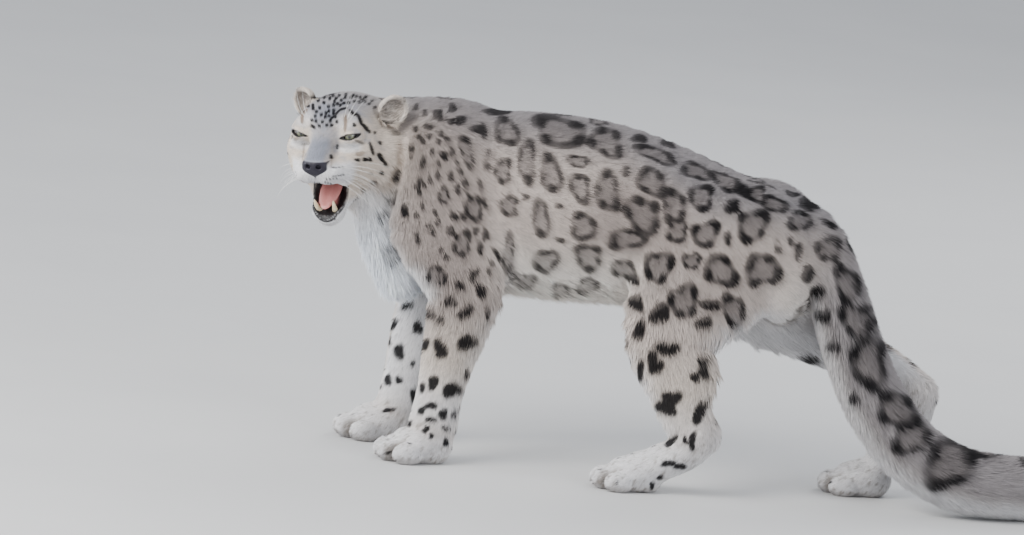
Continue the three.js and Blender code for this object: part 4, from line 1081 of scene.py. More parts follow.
# %% Feet and ears
def foot_shade_and_flecks(points):
    """How far the feet darken: as painted shade in the creases between the toes, by a bell curve of the
    distance to each crease, darker close to the floor, and in the feet's own soft flecks."""
    nearest = np.argmin([foot(points) for foot in FEET.values()], axis=0)
    local = np.choose(nearest[:, None], [foot.local(points) for foot in FEET.values()])
    crease = np.max([np.exp(-(((local[:, 1] - y) / 3.2) ** 2)) for y in CREASES], axis=0)
    crease = crease * smooth(local[:, 0], 18, 40) * smooth(-local[:, 2], -44, -30)
    fleck = smooth(ripple(points, 16, 41) + 0.8 * ripple(points, 7, 42), 0.45, 0.95)
    return np.clip(0.8 * crease + 0.4 * smooth(-points[:, 2], -14, -3) + 0.6 * fleck, 0, 0.85)


def ear_colour(p, name, colour):
    """Pale outside and along the rim, and within the cup darkened as painted shade with pale hairs, in head
    axes.
    """
    at, axes = ear_axes(name)
    local = (p - at) @ axes
    cup = smooth(-ear_cup()(local), -3.0, -0.5)
    hairs = smooth(ripple(p, 9, 31) + 0.5 * ripple(p, 4, 32) - 0.04 * local[:, 2], -0.3, 0.9)
    # Within the cup the colour is darkened as painted shade, with pale hairs over it.
    inside = toned(np.tile(DUSK_AND_SHADE * 0.4, (len(p), 1)), CREAM, 0.7 * hairs)
    share = on_ear(p, name)
    colour = toned(colour, CREAM, share * 0.8)
    return colour * (1 - (share * cup)[:, None]) + inside * (share * cup)[:, None]


# %% The colour of the whole coat
def coat_colour(points, normals, weights):
    """Grey along the back, beige on the flanks and white beneath, inside the legs and on the feet,
    with the marks over it."""
    z, n = points[:, 2], normals
    p = to_head(points)
    legs = weights[:, ON_FORE] + weights[:, ON_HIND]
    high = z + 26 * n[:, 2] + 90 * smooth(points[:, 0], 130, 330)
    colour = toned(np.tile(BEIGE, (len(points), 1)), WARM_GREY, smooth(high, 490, 600) * 0.85)
    belly = weights[:, ON_TRUNK] * smooth(-z, -400, -300)
    # The belly's white is brighter and warmer than the coat's own, as painted light bounced up from below.
    colour = toned(colour, BELLY_WHITE_AND_BOUNCE, 0.9 * belly)
    inward = -np.sign(points[:, 1]) * n[:, 1]
    bare_side = (1 - belly) * (1 - legs * smooth(inward, 0.0, 0.4))
    # The dusky places darken the shoulder, the leg by the elbow, the hind flank and the thigh, partly to the
    # coat's greyer tone and partly as painted shade.
    for x, level, wide, tall, share in DUSKY_AND_SHADED:
        reach = np.hypot((points[:, 0] - x) / wide, (z - level) / tall)
        colour = toned(colour, DUSK_AND_SHADE, share * bare_side * smooth(-reach, -1.35, -0.55))
    colour = toned(colour, CREAM, legs * smooth(-z, -270, -150) * 0.8)
    white = np.maximum(smooth(-n[:, 2], 0.05, 0.7) * smooth(-z, -360, -290), weights[:, ON_BIB] * 0.95)
    white = np.maximum(white, legs * smooth(inward, 0.0, 0.6) * smooth(-z, -340, -240))
    white = np.maximum(white, legs * smooth(-z, -170, -80) * 0.8)
    white = np.maximum(white, weights[:, ON_FOOT] * 0.95)
    white = np.maximum(white, weights[:, ON_TAIL] * smooth(-n[:, 2] - n[:, 0] * 0.6, 0.1, 0.8) * 0.8)
    colour = toned(colour, WHITE, white * (1 - belly))
    # The bib is tinted a blue white: its white in painted cool shade.
    colour = toned(colour, BLUE_SHADE_WHITE, weights[:, ON_BIB] * 0.9)
    colour = toned(colour, WARM_GREY, weights[:, ON_TAIL] * (1 - 0.8 * white) * 0.8)
    # The feet are darkened towards a brown: painted shade in the creases between the toes, darker close to
    # the floor, and their own flecks.
    feet = weights[:, ON_FOOT] > 0.3
    if feet.any():
        share = np.zeros(len(points))
        share[feet] = foot_shade_and_flecks(points[feet])
        colour = toned(colour, DIRT_AND_SHADE, share)
    head = weights[:, ON_HEAD]
    side = np.abs(p[:, 1])
    bridge = smooth(p[:, 0], 25, 60) * smooth(-side, -29, -11) * smooth(p[:, 2], -26, -12)
    bridge = bridge * (1 - 0.25 * smooth(p[:, 2], 8, 26))
    colour = toned(colour, toned(np.tile(FACE_CREAM, (len(points), 1)), BRIDGE_GREY, bridge), head)
    crown = smooth(p[:, 2], 26, 58)
    colour = toned(colour, BRIDGE_GREY * 0.95, head * crown * 0.75)
    mottle = smooth(ripple(p, 18, 51) + 0.6 * ripple(p, 8, 52), -0.2, 1.0) * smooth(p[:, 0], -5, 30)
    colour = toned(colour, BRIDGE_GREY * 1.2, head * mottle * 0.5 * smooth(p[:, 2], -40, -15))
    muzzle = smooth(p[:, 0], 58, 80) * smooth(-p[:, 2], 14, 26)
    folded = np.stack([p[:, 0], side, p[:, 2]], 1)
    brow, under_eye = (smooth(-np.linalg.norm((folded - at) / size, axis=1), -1.3, -0.7)
                       for at, size in (([58, 33, 40], [22, 17, 13]), ([62, 40, 1], [22, 20, 9])))
    chin = smooth(-p[:, 2], 84, 100) * smooth(p[:, 0], -30, 0)
    colour = toned(colour, WHITE, head * np.maximum.reduce([muzzle, 0.8 * under_eye, chin, 0.45 * brow]))
    for name in EARS:
        colour = ear_colour(p, name, colour)
    dark, middle, tan_and_shade = mark_cover(points)
    fade = 1 - 0.1 * (weights[:, ON_TRUNK] + weights[:, ON_NECK])
    # The faint marks tint towards tan; some of them are painted shade in furrows, grooves, under an eye and
    # behind the cheek.
    colour = toned(colour, TAN_AND_SHADE, 1.5 * tan_and_shade)
    colour = toned(colour, SMOKE, middle * (0.55 + 0.15 * (weights[:, ON_TAIL] + weights[:, ON_HIND])))
    colour = toned(colour, BLACK, np.clip(dark * fade, 0, 0.97))
    tail_end = smooth(TAIL.measure(points)[2], 800, 860) * weights[:, ON_TAIL]
    colour = toned(colour, BLACK * 2, 0.85 * tail_end * smooth(ripple(points, 90, 5), -0.3, 0.3))
    return colour * (1 + 0.07 * ripple(points, 60, 3) + 0.05 * ripple(points, 17, 4))[:, None]


# %% Bare skin of eyelids, nose, lips and mouth
PINK, SHADED_PINK, LIP, LEATHER = (np.array(c) for c in (
    (0.66, 0.27, 0.25), (0.20, 0.05, 0.05), (0.010, 0.009, 0.010), (0.017, 0.015, 0.024)))


def bare_colour(points, colour):
    """Lids and lips black, nose leather dark, and the mouth pink within and darker towards its back as
    painted shade, over the coat's colour.
    Returns the colour and how bare each point is."""
    p = to_head(points)
    closed = whole_head(p)
    mouth = open_mouth(p)
    within = smooth(-closed, 1.5, 3.5) * smooth(-mouth, -7, -4)
    lip = smooth(-mouth, -7.5, -4.5) * smooth(p[:, 0], 14, 30) * (1 - within)
    side = np.abs(p[:, 1])
    # Towards the back the mouth darkens as painted shade.
    deep = smooth(-p[:, 0], -60, -34)
    cheek = np.maximum(smooth(side + 5 * (p[:, 1] > 0), 15, 20), smooth(-p[:, 2], 94, 102))
    inner = toned(toned(np.tile(PINK, (len(p), 1)), SHADED_PINK, deep * 0.5), LIP, cheek)
    wedge = 21.5 * smooth(p[:, 2], -44, -26)
    nose = smooth(wedge - side, -1.2, 1.2) * smooth(p[:, 0], 98, 104) * smooth(-p[:, 2], 13, 15.5)
    slit = smooth(-side, -2.0, -0.8) * smooth(p[:, 0], 94, 104) * smooth(-p[:, 2], 24, 30)
    lids = np.zeros(len(p))
    for s in (-1, 1):
        near = np.linalg.norm(p - EYE * [1, s, 1], axis=1) < 30
        lids = np.maximum(lids, near * smooth(-lid_opening(p, s, LID["half"] + 4.5), -2.4, -1.0))
    colour = toned(colour, LEATHER, np.maximum(nose, slit * 0.8))
    colour = toned(colour, LIP, np.maximum(lip, lids))
    colour = toned(colour, inner, within)
    return colour, np.maximum.reduce([within, lip, lids, nose])


skin_colour = coat_colour(skin_points, skin_normal, skin_weight)
skin_colour, skin_bare = bare_colour(skin_points, skin_colour)
print("bare share of the skin:", round(float(skin_bare.mean()), 3))


# %% [markdown]
# ## Meshes and finishes
# Every piece is filled from whole arrays, because a loop over a million vertices would take minutes.
# The colour worked out above is kept on the vertices, and the materials add what is too fine for
# them: a fine noise in the colour, a bump on the bare skin and a faint sheen on the fur.

# %% Making a mesh from arrays
def make_piece(name, points, faces, material, colour=None, bare=None, uv=None, normals=None):
    """A mesh object in the row's metres, with smooth faces, and colours and a map if given."""
    mesh = bpy.data.meshes.new(name)
    mesh.vertices.add(len(points))
    mesh.vertices.foreach_set("co", to_row(points).astype(np.float32).ravel())
    sides = faces.shape[1]
    mesh.loops.add(faces.size)
    mesh.loops.foreach_set("vertex_index", faces.astype(np.int32).ravel())
    mesh.polygons.add(len(faces))
    mesh.polygons.foreach_set("loop_start", np.arange(0, faces.size, sides, dtype=np.int32))
    mesh.update(calc_edges=True)
    mesh.polygons.foreach_set("use_smooth", np.ones(len(faces), bool))
    if colour is not None:
        rgba = np.hstack([np.clip(colour, 0, 1), np.ones((len(colour), 1))]).astype(np.float32)
        mesh.color_attributes.new("Coat", "FLOAT_COLOR", "POINT").data.foreach_set("color", rgba.ravel())
    if bare is not None:
        mesh.attributes.new("Bare", "FLOAT", "POINT").data.foreach_set("value", bare.astype(np.float32))
    if uv is not None:
        layer = mesh.uv_layers.new(name="OFBake")
        layer.data.foreach_set("uv", uv[faces.ravel()].astype(np.float32).ravel())
    if normals is not None:
        mesh.normals_split_custom_set_from_vertices(normals.astype(np.float32))
    mesh.materials.append(material)
    piece = bpy.data.objects.new(name, mesh)
    bpy.context.scene.collection.objects.link(piece)
    print(name, len(points), "points", len(faces) * (sides - 2), "triangles")
    return piece


# %% Materials
def new_material(name, roughness, specular=0.5):
    """A material with its Principled shader's constants set on the shader."""
    material = bpy.data.materials.new(name)
    material.use_nodes = True
    shader = material.node_tree.nodes["Principled BSDF"]
    shader.inputs["Roughness"].default_value = roughness
    shader.inputs["Specular IOR Level"].default_value = specular
    return material, material.node_tree.nodes, material.node_tree.links, shader


def add_noise(nodes, links, scale, detail=3.0):
    """Noise on Object coordinates."""
    place = nodes.new("ShaderNodeTexCoord")
    noise = nodes.new("ShaderNodeTexNoise")
    noise.inputs["Scale"].default_value = scale
    noise.inputs["Detail"].default_value = detail
    links.new(place.outputs["Object"], noise.inputs["Vector"])
    return noise.outputs["Fac"]


def scaled_colour(nodes, links, colour, factor, low, high):
    """A colour made lighter or darker by a factor from 0 to 1, spread between low and high."""
    spread = nodes.new("ShaderNodeMapRange")
    spread.inputs["To Min"].default_value, spread.inputs["To Max"].default_value = low, high
    links.new(factor, spread.inputs["Value"])
    times = nodes.new("ShaderNodeVectorMath")
    times.operation = "SCALE"
    links.new(colour, times.inputs[0])
    links.new(spread.outputs["Result"], times.inputs["Scale"])
    return times.outputs["Vector"]


def add_bump(nodes, links, shader, height, distance, strength=0.5):
    """Bump on the shader from a height."""
    bump = nodes.new("ShaderNodeBump")
    bump.inputs["Distance"].default_value = distance
    bump.inputs["Strength"].default_value = strength
    links.new(height, bump.inputs["Height"])
    links.new(bump.outputs["Normal"], shader.inputs["Normal"])


def vertex_colour(nodes, links, shader, noise, low, high):
    """The colour kept on the vertices, made lighter or darker by a noise, as the base colour."""
    attribute = nodes.new("ShaderNodeAttribute")
    attribute.attribute_name = "Coat"
    spread = scaled_colour(nodes, links, attribute.outputs["Color"], noise, low, high)
    links.new(spread, shader.inputs["Base Color"])


def noise_colour(nodes, links, shader, noise, dark, pale):
    """A base colour that runs from dark to pale with a noise."""
    ramp = nodes.new("ShaderNodeValToRGB")
    for end, colour in zip(ramp.color_ramp.elements, (dark, pale)):
        end.color = (*colour, 1)
    links.new(noise, ramp.inputs["Fac"])
    links.new(ramp.outputs["Color"], shader.inputs["Base Color"])


# %% Fur and hide
fur, nodes, links, shader = new_material("fur", 0.9, 0.06)
vertex_colour(nodes, links, shader, add_noise(nodes, links, 420.0), 0.86, 1.14)
shader.inputs["Sheen Weight"].default_value = 0.02
shader.inputs["Sheen Roughness"].default_value = 0.5

hide, nodes, links, shader = new_material("hide", 0.7, 0.3)
pore_noise = add_noise(nodes, links, 300.0)
vertex_colour(nodes, links, shader, pore_noise, 0.82, 1.1)
bare_mask = nodes.new("ShaderNodeAttribute")
bare_mask.attribute_name = "Bare"
wet = nodes.new("ShaderNodeMapRange")
wet.inputs["To Min"].default_value, wet.inputs["To Max"].default_value = 0.85, 0.34
links.new(bare_mask.outputs["Fac"], wet.inputs["Value"])
links.new(wet.outputs["Result"], shader.inputs["Roughness"])
add_bump(nodes, links, shader, pore_noise, 0.0012, 0.6)

# %% The skin as one piece
FLESH = ["trunk", "neck", "head", "jaw", "ear_left", "ear_right", "tail_root", "tail_middle", "tail_lower",
         "tail_tip", "foreleg_left", "foreleg_right", "forepaw_left", "forepaw_right", "hindleg_left",
         "hindleg_right", "hindfoot_left", "hindfoot_right"]
skin = make_piece("skin", skin_points, skin_faces, hide, skin_colour, skin_bare)
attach(skin, "root")
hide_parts(*FLESH)

# %% [markdown]
# ## The coat
# Real fur is millions of hairs. At this distance the eye sees small tufts: locks of hair that lie
# over one another like shingles. Each tuft here is a slim closed spike with a triangular section. It
# rises from the skin and lies along the hair's direction. It takes its colour from the places where
# its lower third and its tip end up, so the marks keep their ragged edges.

# %% Where the tufts grow
def scatter(faces, count, density, draw):
    """Even random places: the density is summed over the faces in their own order, and one place is
    drawn in each equal share of it. Returns the faces and the weights of their corners."""
    total = np.cumsum(density)
    at = (np.arange(count) + draw.uniform(0, 1, count)) * total[-1] / count
    chosen = np.searchsorted(total, at).clip(0, len(faces) - 1)
    u, v = draw.uniform(0, 1, (2, count))
    flip = u + v > 1
    u, v = np.where(flip, 1 - u, u), np.where(flip, 1 - v, v)
    return chosen, np.stack([1 - u - v, u, v], 1)


def coat_length(points, normals, weights):
    """Length of the hair of each region, longer under the belly and behind the thighs."""
    z = points[:, 2]
    p = to_head(points)
    under = smooth(-normals[:, 2], 0.0, 0.8) * smooth(-z, -340, -280)
    head = 5.5 + 14 * smooth(-p[:, 0], -30, 30) * smooth(np.linalg.norm(p - HEAD_MIDDLE, axis=1), 50, 90)
    head = np.where(p[:, 2] > 44, np.minimum(head, 9), head)
    eared = np.maximum(*(on_ear(p, name) for name in EARS))
    head = head * (1 - eared) + 8.5 * eared
    legs = 9 + 12 * smooth(z, 110, 320)
    back_edge = smooth(normals[:, 0], 0.3, 0.9)
    fore, hind = legs + 8 * under + 8 * back_edge, legs + 8 * under + 14 * back_edge
    return shared(weights, [20 + 28 * under, 22, 42, 25, fore, hind, 7, head])


skin_length = coat_length(skin_points, skin_normal, skin_weight)
a, b, c = (skin_points[skin_faces[:, n]] for n in range(3))
face_area = np.linalg.norm(np.cross(b - a, c - a), axis=1) / 2
face_middle = (a + b + c) / 3
face_bare = skin_bare[skin_faces].max(1)
face_share = skin_weight[skin_faces].mean(1)
face_size = skin_length[skin_faces].mean(1)


# %% The unwrap of the coat
FOOT_MIDDLE = np.array([0.0, 0.0, 20.0])


def round_a_ball(local):
    """Longitude and latitude of places about a centre, each as a share from 0 to 1."""
    across = np.hypot(local[:, 0], local[:, 1])
    longitude, latitude = np.arctan2(local[:, 1], local[:, 0]), np.arctan2(local[:, 2], across)
    return longitude / (2 * np.pi) + 0.5, latitude / np.pi + 0.5


def unwrap(points, weights):
    """The skin laid flat by its own shape: along each limb's line one way and round it the other,
    and on head and feet by longitude and latitude. Each region has its own tile of the square."""
    region = np.argmax(weights, axis=1)
    u, v = np.zeros(len(points)), np.zeros(len(points))
    lines = [[TRUNK], [NECK], [BIB], [TAIL], [LEGS["fore_left"], LEGS["fore_right"]],
             [LEGS["hind_left"], LEGS["hind_right"]], list(FEET.values()), [HEAD]]
    for n, forms in enumerate(lines):
        some = np.nonzero(region == n)[0]
        if not len(some):
            continue
        if n == ON_HEAD:
            u[some], v[some] = round_a_ball(to_head(points[some]) - HEAD_MIDDLE)
            continue
        nearest = np.argmin([form(points[some]) for form in forms], axis=0)
        for m, form in enumerate(forms):
            own = some[nearest == m]
            if n == ON_FOOT:
                along, v[own] = round_a_ball(form.local(points[own]) - FOOT_MIDDLE)
            else:
                _, _, run, angle = form.measure(points[own])
                along, v[own] = run / form.travel[-1], angle / (2 * np.pi) + 0.5
            u[own] = (along + m) / len(forms)
    return np.stack([0.01 + 0.24 * (region % 4 + u), 0.01 + 0.48 * (region // 4 + v)], 1)


# %% One piece of coat
SPIKE = np.array([(0, 2, 1), (0, 1, 3), (1, 2, 3), (2, 0, 3)])
PATCH = 0.003
FLOOR_GAP = 0.3
ROOT_DEPTH = 1.0
LOW_PLACE, HIGH_PLACE = 0.35, 0.9


def tufts(name, chosen, corners, draw):
    """Closed spikes of four triangles. Each runs from its root, a little under the skin, along the
    lie of the hair to a tip at the coat's depth. Its colour is worked out at a third of its length
    and near its tip, so that the edges of the marks stay true."""
    def mix(values):
        """The skin's values at the roots."""
        return (values[skin_faces[chosen]] * corners[:, :, None]).sum(1)

    root, normal, flow = mix(skin_points), unit(mix(skin_normal)), mix(skin_flow)
    weights, depth = mix(skin_weight), mix(skin_depth[:, None])[:, 0]
    length = mix(skin_length[:, None])[:, 0] * draw.uniform(0.75, 1.2, len(root))
    side = np.cross(normal, unit(flow))
    sway = 0.15 * ripple(root, 45, 11) + 0.13 * ripple(root, 15, 12) + draw.normal(0, 0.09, len(root))
    flow = unit(unit(flow) * np.cos(sway)[:, None] + side * np.sin(sway)[:, None])
    side = unit(np.cross(normal, flow))
    shaggy = 0.5 * smooth(length, 30, 45)
    rise = depth * (draw.uniform(0.85, 1.15, len(root)) + shaggy * draw.uniform(-0.6, 1.0, len(root)))
    run = np.sqrt(np.maximum(length**2 - rise**2, (0.5 * length) ** 2))
    start = root - ROOT_DEPTH * normal
    tip = root + flow * run[:, None] + normal * rise[:, None]
    wide = ((1.1 + 0.045 * length) * draw.uniform(0.8, 1.25, len(root)))[:, None] / 2
    ridge = start + normal * (ROOT_DEPTH + 0.8 * wide)
    points = np.stack([start - side * wide, start + side * wide, ridge, tip], 1)
    points[..., 2] = np.maximum(points[..., 2], FLOOR_GAP)
    faces = (np.arange(len(root))[:, None, None] * 4 + SPIKE[None]).reshape(-1, 3)
    tone = (draw.uniform(0.88, 1.1, len(root)) - 0.2 * (draw.uniform(0, 1, len(root)) < 0.1))[:, None]
    # The colour low on each tuft is darkened as painted shade deep in the coat, and the tip's is lightened
    # as painted light on the tips.
    low_colour = coat_colour(root + LOW_PLACE * (tip - root), normal, weights) * tone * 0.86
    tip_colour = coat_colour(root + HIGH_PLACE * (tip - root), normal, weights) * tone * 1.06
    colours = np.stack([low_colour, low_colour, low_colour, tip_colour], 1)
    local = np.array([(-0.5, 0), (0.5, 0), (0, 0.2), (0, 1)]) * PATCH
    uv = unwrap(root, weights)[:, None, :] + local[None]
    across = np.stack([-side, side, 0 * side, 0 * side], 1)
    soft = unit(normal[:, None, :] + 0.22 * across)
    piece = make_piece(name, points.reshape(-1, 3), faces, fur, colours.reshape(-1, 3), None,
                       uv.reshape(-1, 2), soft.reshape(-1, 3))
    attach(piece, "root")


# %% The coat pieces
owner = np.argmax(face_share, axis=1)
left, front = face_middle[:, 1] < 0, face_middle[:, 0] < 170
high_fore = (owner == ON_FORE) & (face_middle[:, 2] > 330)
high_hind = (owner == ON_HIND) & (face_middle[:, 2] > 300)
on_trunk = (owner == ON_TRUNK) | high_fore | high_hind
low_leg = (owner >= ON_FORE) & (owner <= ON_FOOT) & ~on_trunk
COAT_PIECES = [
    ("coat_head", owner == ON_HEAD, 46000), ("coat_neck", (owner == ON_NECK) | (owner == ON_BIB), 42000),
    ("coat_left_front", on_trunk & left & front, 45000),
    ("coat_right_front", on_trunk & ~left & front, 38000),
    ("coat_left_back", on_trunk & left & ~front, 47000),
    ("coat_right_back", on_trunk & ~left & ~front, 38000),
    ("coat_forelegs", low_leg & front, 37000), ("coat_hindlegs", low_leg & ~front, 40000),
    ("coat_tail", owner == ON_TAIL, 41000),
]
for number, (name, where, count) in enumerate(COAT_PIECES):
    draw = np.random.default_rng(100 + number)
    density = np.where(where & (face_bare < 0.35), face_area / np.maximum(face_size, 5) ** 1.1, 0)
    chosen, corners = scatter(skin_faces, count, density, draw)
    tufts(name, chosen, corners, draw)

# %% [markdown]
# ## Eyes
# A big cat's eye is a wet ball with a round pupil. The iris is olive, darker at its rim, and the white
# of the eye is so dark that it hardly shows. We turn a profile round the line of gaze, with rings just
# where pupil and iris end, so that their edges are crisp, and give it a clear coat for the wet gloss.

# %% The eyeballs
def tube_faces(rows, sides):
    """Triangles between rings of points, and round a pole at each end, which come last."""
    i, j = np.meshgrid(np.arange(rows - 1), np.arange(sides), indexing="ij")
    k = (j + 1) % sides
    a, b = (i * sides + j).ravel(), (i * sides + k).ravel()
    c, d = b + sides, a + sides
    ring, end = np.arange(sides), (rows - 1) * sides
    first, last = np.full(sides, rows * sides), np.full(sides, rows * sides + 1)
    caps = [(first, np.roll(ring, -1), ring), (last, ring + end, np.roll(ring, -1) + end)]
    return np.vstack([np.stack(corners, 1) for corners in ((a, b, c), (a, c, d), *caps)])


GAZE_OUT, GAZE_LEFT = 6.0, 11.0
PUPIL, IRIS = 0.13, 0.46
OLIVE, EYE_WHITE, PUPIL_BLACK = (np.array(c) for c in (
    (0.12, 0.125, 0.075), (0.03, 0.022, 0.018), (0.004, 0.004, 0.004)))


def eyeball(side):
    """A profile turned round the gaze: radius as the sphere's, plus a small swelling of the cornea.
    The colour depends on the angle from the gaze and on fine radial streaks."""
    angle = np.concatenate([np.linspace(0, PUPIL - 0.01, 5), np.linspace(PUPIL + 0.01, IRIS - 0.01, 14),
                            np.linspace(IRIS + 0.02, 3.05, 32)])
    round_ = np.linspace(0, 2 * np.pi, 73)[:-1]
    t, f = np.meshgrid(angle, round_, indexing="ij")
    radius = EYE_RADIUS - 0.2 + 1.1 * np.exp(-((t / 0.42) ** 4))
    local = np.stack([np.cos(t), np.sin(t) * np.cos(f), np.sin(t) * np.sin(f)], -1) * radius[..., None]
    axes = turn(2, GAZE_OUT * side + GAZE_LEFT) @ turn(1, 5)
    points = from_head(local.reshape(-1, 3) @ axes.T + EYE * [1, side, 1])
    sides = len(round_)
    points = np.vstack([points, points[:sides].mean(0), points[-sides:].mean(0)])
    streak = 0.5 + 0.5 * np.sin(23 * f + 3 * np.sin(5 * f)) * np.sin(41 * f + 1)
    rims = 0.75 * smooth(t, IRIS - 0.1, IRIS) + 0.3 * smooth(-t, -PUPIL - 0.1, -PUPIL)
    iris = OLIVE * ((0.75 + 0.5 * streak) * (1 - rims))[..., None]
    colour = np.where((t < IRIS)[..., None], iris, EYE_WHITE)
    colour = np.where((t < PUPIL)[..., None], PUPIL_BLACK, colour)
    colour = np.vstack([colour.reshape(-1, 3), colour[0, 0], colour[-1, 0]])
    return points, tube_faces(*t.shape)[:, ::-1], colour


# %% Wet eyes in their sockets
eye_finish, nodes, links, shader = new_material("wet_eye", 0.12, 0.5)
vertex_colour(nodes, links, shader, add_noise(nodes, links, 900.0), 0.8, 1.2)
shader.inputs["Coat Weight"].default_value = 1.0
shader.inputs["Coat Roughness"].default_value = 0.03
for name, side in (("left", 1), ("right", -1)):
    points, triangles, colour = eyeball(side)
    eye = make_piece(f"eyeball_{name}", points, triangles, eye_finish, colour)
    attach(eye, "root")
    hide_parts(f"eye_{name}")


# %% [markdown]
# ## Teeth, tongue and whiskers
# Each is a round profile carried along a curved line, thick where the real one is thick and closed at
# both ends. One function makes them all, with the same rings and poles as the eyes.

# %% A profile along a path
def swept(path, radii, sides=12, flat=1.0, across=(0, 1, 0)):
    """Rings of an ellipse round each point of a path, square to it, with a pole at each end."""
    path, radii, across = (np.asarray(v, float) for v in (path, radii, across))
    forward = unit(np.gradient(path, axis=0))
    side = unit(across - (forward @ across)[:, None] * forward)
    up = np.cross(forward, side)
    angle = np.arange(sides) * 2 * np.pi / sides
    ring = np.cos(angle)[None, :, None] * side[:, None] + flat * np.sin(angle)[None, :, None] * up[:, None]
    points = (path[:, None] + radii[:, None, None] * ring).reshape(-1, 3)
    return np.vstack([points, path[0], path[-1]]), tube_faces(len(path), sides)


def joined(parts):
    """Several meshes as one."""
    starts = np.cumsum([0] + [len(points) for points, _ in parts[:-1]])
    return np.vstack([p for p, _ in parts]), np.vstack([f + s for (_, f), s in zip(parts, starts)])


def arc(root, bend, tip, count=14):
    """Points of a parabola from root to tip, drawn towards bend."""
    t = np.linspace(0, 1, count)[:, None]
    return (1 - t) ** 2 * np.array(root) + 2 * t * (1 - t) * np.array(bend) + t * t * np.array(tip)


# %% Canine and front teeth
tooth_parts = []
for s in (-1, 1):
    for root, bend, tip, thick in (
        ((54, 12 * s, -106), (63, 15 * s, -105), (73.5, 16 * s, -87), 4.7),
        ((82, 17 * s, -32), (90, 18 * s, -44), (85, 17 * s, -55), 4.8),
    ):
        path = arc(root, bend, tip)
        t = np.linspace(0, 1, len(path))
        points, faces = swept(path, thick * np.sqrt(np.maximum(1 - t**1.8, 0.004)), 14)
        tooth_parts.append((from_head(points), faces))
teeth_points, teeth_faces = joined(tooth_parts)
enamel, nodes, links, shader = new_material("enamel", 0.28, 0.5)
noise_colour(nodes, links, shader, add_noise(nodes, links, 90.0), (0.62, 0.46, 0.27), (0.80, 0.70, 0.50))
shader.inputs["Subsurface Weight"].default_value = 0.05
teeth = make_piece("teeth", teeth_points, teeth_faces, enamel)
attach(teeth, "root")

# %% Tongue
TONGUE = np.array([[20.5, 0, -64.5, 15], [32, 0, -73, 17], [43, 0, -80, 17], [53.5, 0, -87.7, 15],
                   [62.7, 0, -94.3, 11.5], [68.5, 0, -99.5, 7], [71, 0, -102, 2.5]], float)
TONGUE_UP = np.array([0.523, 0.0, 0.853])
steps = np.linspace(0, len(TONGUE) - 1, 40)
line = np.stack([np.interp(steps, np.arange(len(TONGUE)), TONGUE[:, n]) for n in range(4)], 1)
tongue_points, tongue_faces = swept(line[:, :3], line[:, 3], 28, 0.42)
across = tongue_points[:, 1] / 16
top = smooth((tongue_points - [45.7, 0, -82.8]) @ TONGUE_UP, 0, 4)
tongue_points = tongue_points - np.outer(top * 2.6 * np.exp(-((across / 0.28) ** 2)), TONGUE_UP)
flesh, nodes, links, shader = new_material("tongue", 0.36, 0.5)
grain = add_noise(nodes, links, 500.0)
noise_colour(nodes, links, shader, grain, (0.52, 0.19, 0.18), (0.66, 0.27, 0.24))
add_bump(nodes, links, shader, grain, 0.001, 0.7)
tongue = make_piece("tongue_flesh", from_head(tongue_points), tongue_faces, flesh)
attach(tongue, "root")
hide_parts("tongue")

# %% Whiskers
def hair(root, bend, tip, thick, rings, across):
    """A hair from root to tip, thinning evenly to TIP_THICK."""
    points, faces = swept(arc(root, bend, tip, rings), np.linspace(thick, TIP_THICK, rings), 5, 1.0, across)
    return from_head(points), faces


TIP_THICK = 0.1
whisker_parts = []
draw = np.random.default_rng(5)
for s in (-1, 1):
    for row in range(4):
        for n in range(4):
            root = np.array([96 - 9 * n, s * (22 + 4.2 * n), -28 - 5.2 * row + 0.6 * n])
            out = np.array([-0.25 - 0.13 * n, s * 1.0, 0.12 - 0.2 * row]) + draw.normal(0, 0.07, 3)
            length = draw.uniform(58, 96)
            bend = root + unit(out) * length * 0.55
            tip = root + unit(out + [-0.35, 0, -0.4]) * length
            whisker_parts.append(hair(root, bend, tip, 0.42, 12, (1, 0, 0.2)))
    for n in range(3):
        root = np.array([60, s * (30 + 5 * n), 42.0])
        tip = root + [-8, s * (12 + 5 * n), 42 - 5 * n]
        whisker_parts.append(hair(root, (root + tip) / 2 + [14, 0, 0], tip, 0.4, 10, (1, 0.2, 0)))
whisker_points, whisker_faces = joined(whisker_parts)
bristle, nodes, links, shader = new_material("bristle", 0.4, 0.4)
noise_colour(nodes, links, shader, add_noise(nodes, links, 60.0), (0.68, 0.67, 0.65), (0.88, 0.87, 0.85))
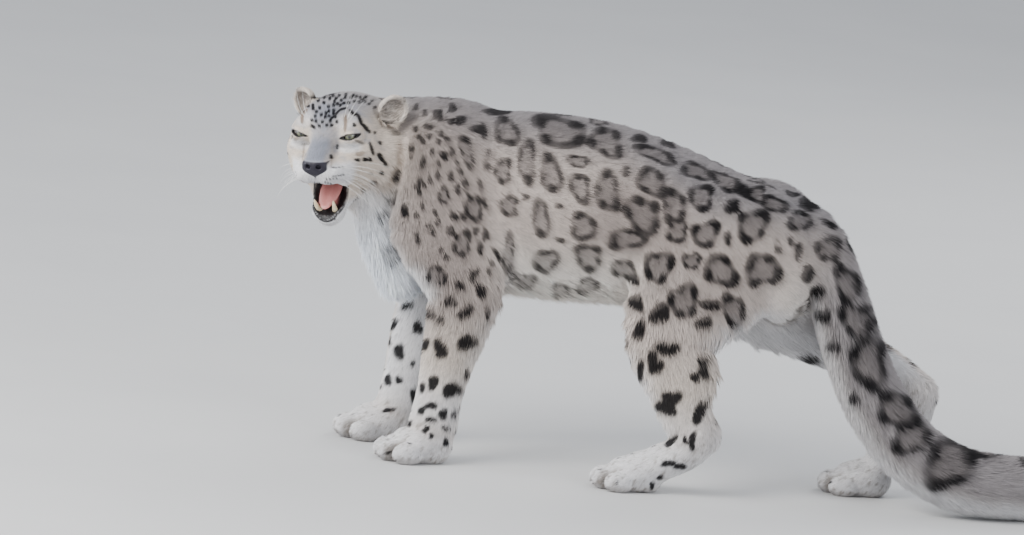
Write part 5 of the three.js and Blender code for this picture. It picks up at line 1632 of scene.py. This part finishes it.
whiskers = make_piece("whiskers", whisker_points, whisker_faces, bristle)
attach(whiskers, "root")

# %% [markdown]
# ## Floor and light
# The model stands on a plain pale floor under soft light, brightest from above and in front, as on an
# overcast day in the open.

# %% Floor
FLOOR_HALF = 14.0
floor_mesh = bpy.data.meshes.new("floor")
floor_corners = [(x * FLOOR_HALF, y * FLOOR_HALF, 0) for x, y in ((-1, -1), (1, -1), (1, 1), (-1, 1))]
floor_mesh.from_pydata(floor_corners, [], [(0, 1, 2, 3)])
floor = bpy.data.objects.new("floor", floor_mesh)
bpy.context.scene.collection.objects.link(floor)
paint, nodes, links, shader = new_material("pale_floor", 0.9, 0.2)
noise_colour(nodes, links, shader, add_noise(nodes, links, 3.0), (0.60, 0.60, 0.60), (0.66, 0.66, 0.65))
floor_mesh.materials.append(paint)

# %% Lights
world = bpy.data.worlds.new("daylight")
bpy.context.scene.world = world
world.use_nodes = True
world.node_tree.nodes["Background"].inputs["Color"].default_value = (0.88, 0.92, 1.0, 1)
world.node_tree.nodes["Background"].inputs["Strength"].default_value = 0.85


def soft_light(name, place, aim, size, power, colour):
    """A square light that faces its aim."""
    data = bpy.data.lights.new(name, "AREA")
    data.size, data.energy, data.color = size, power, colour
    light = bpy.data.objects.new(name, data)
    bpy.context.scene.collection.objects.link(light)
    back = unit(np.array(place, float) - np.array(aim, float))
    right = unit(np.cross([0, 0, 1], back))
    matrix = np.eye(4)
    matrix[:3, 0], matrix[:3, 1], matrix[:3, 2], matrix[:3, 3] = right, np.cross(back, right), back, place
    light.matrix_world = matrix.T.tolist()


soft_light("key", (-2.6, -3.1, 2.9), (0, 0, 0.3), 2.4, 245, (1.0, 0.98, 0.95))
soft_light("fill", (3.2, -3.0, 1.2), (0, 0, 0.3), 3.0, 90, (0.95, 0.97, 1.0))
soft_light("front", (-4.2, -0.8, 0.9), (-0.4, 0, 0.3), 2.0, 90, (0.93, 0.96, 1.0))
soft_light("rim", (1.5, 3.2, 2.6), (0, 0, 0.4), 2.4, 70, (1.0, 1.0, 1.0))
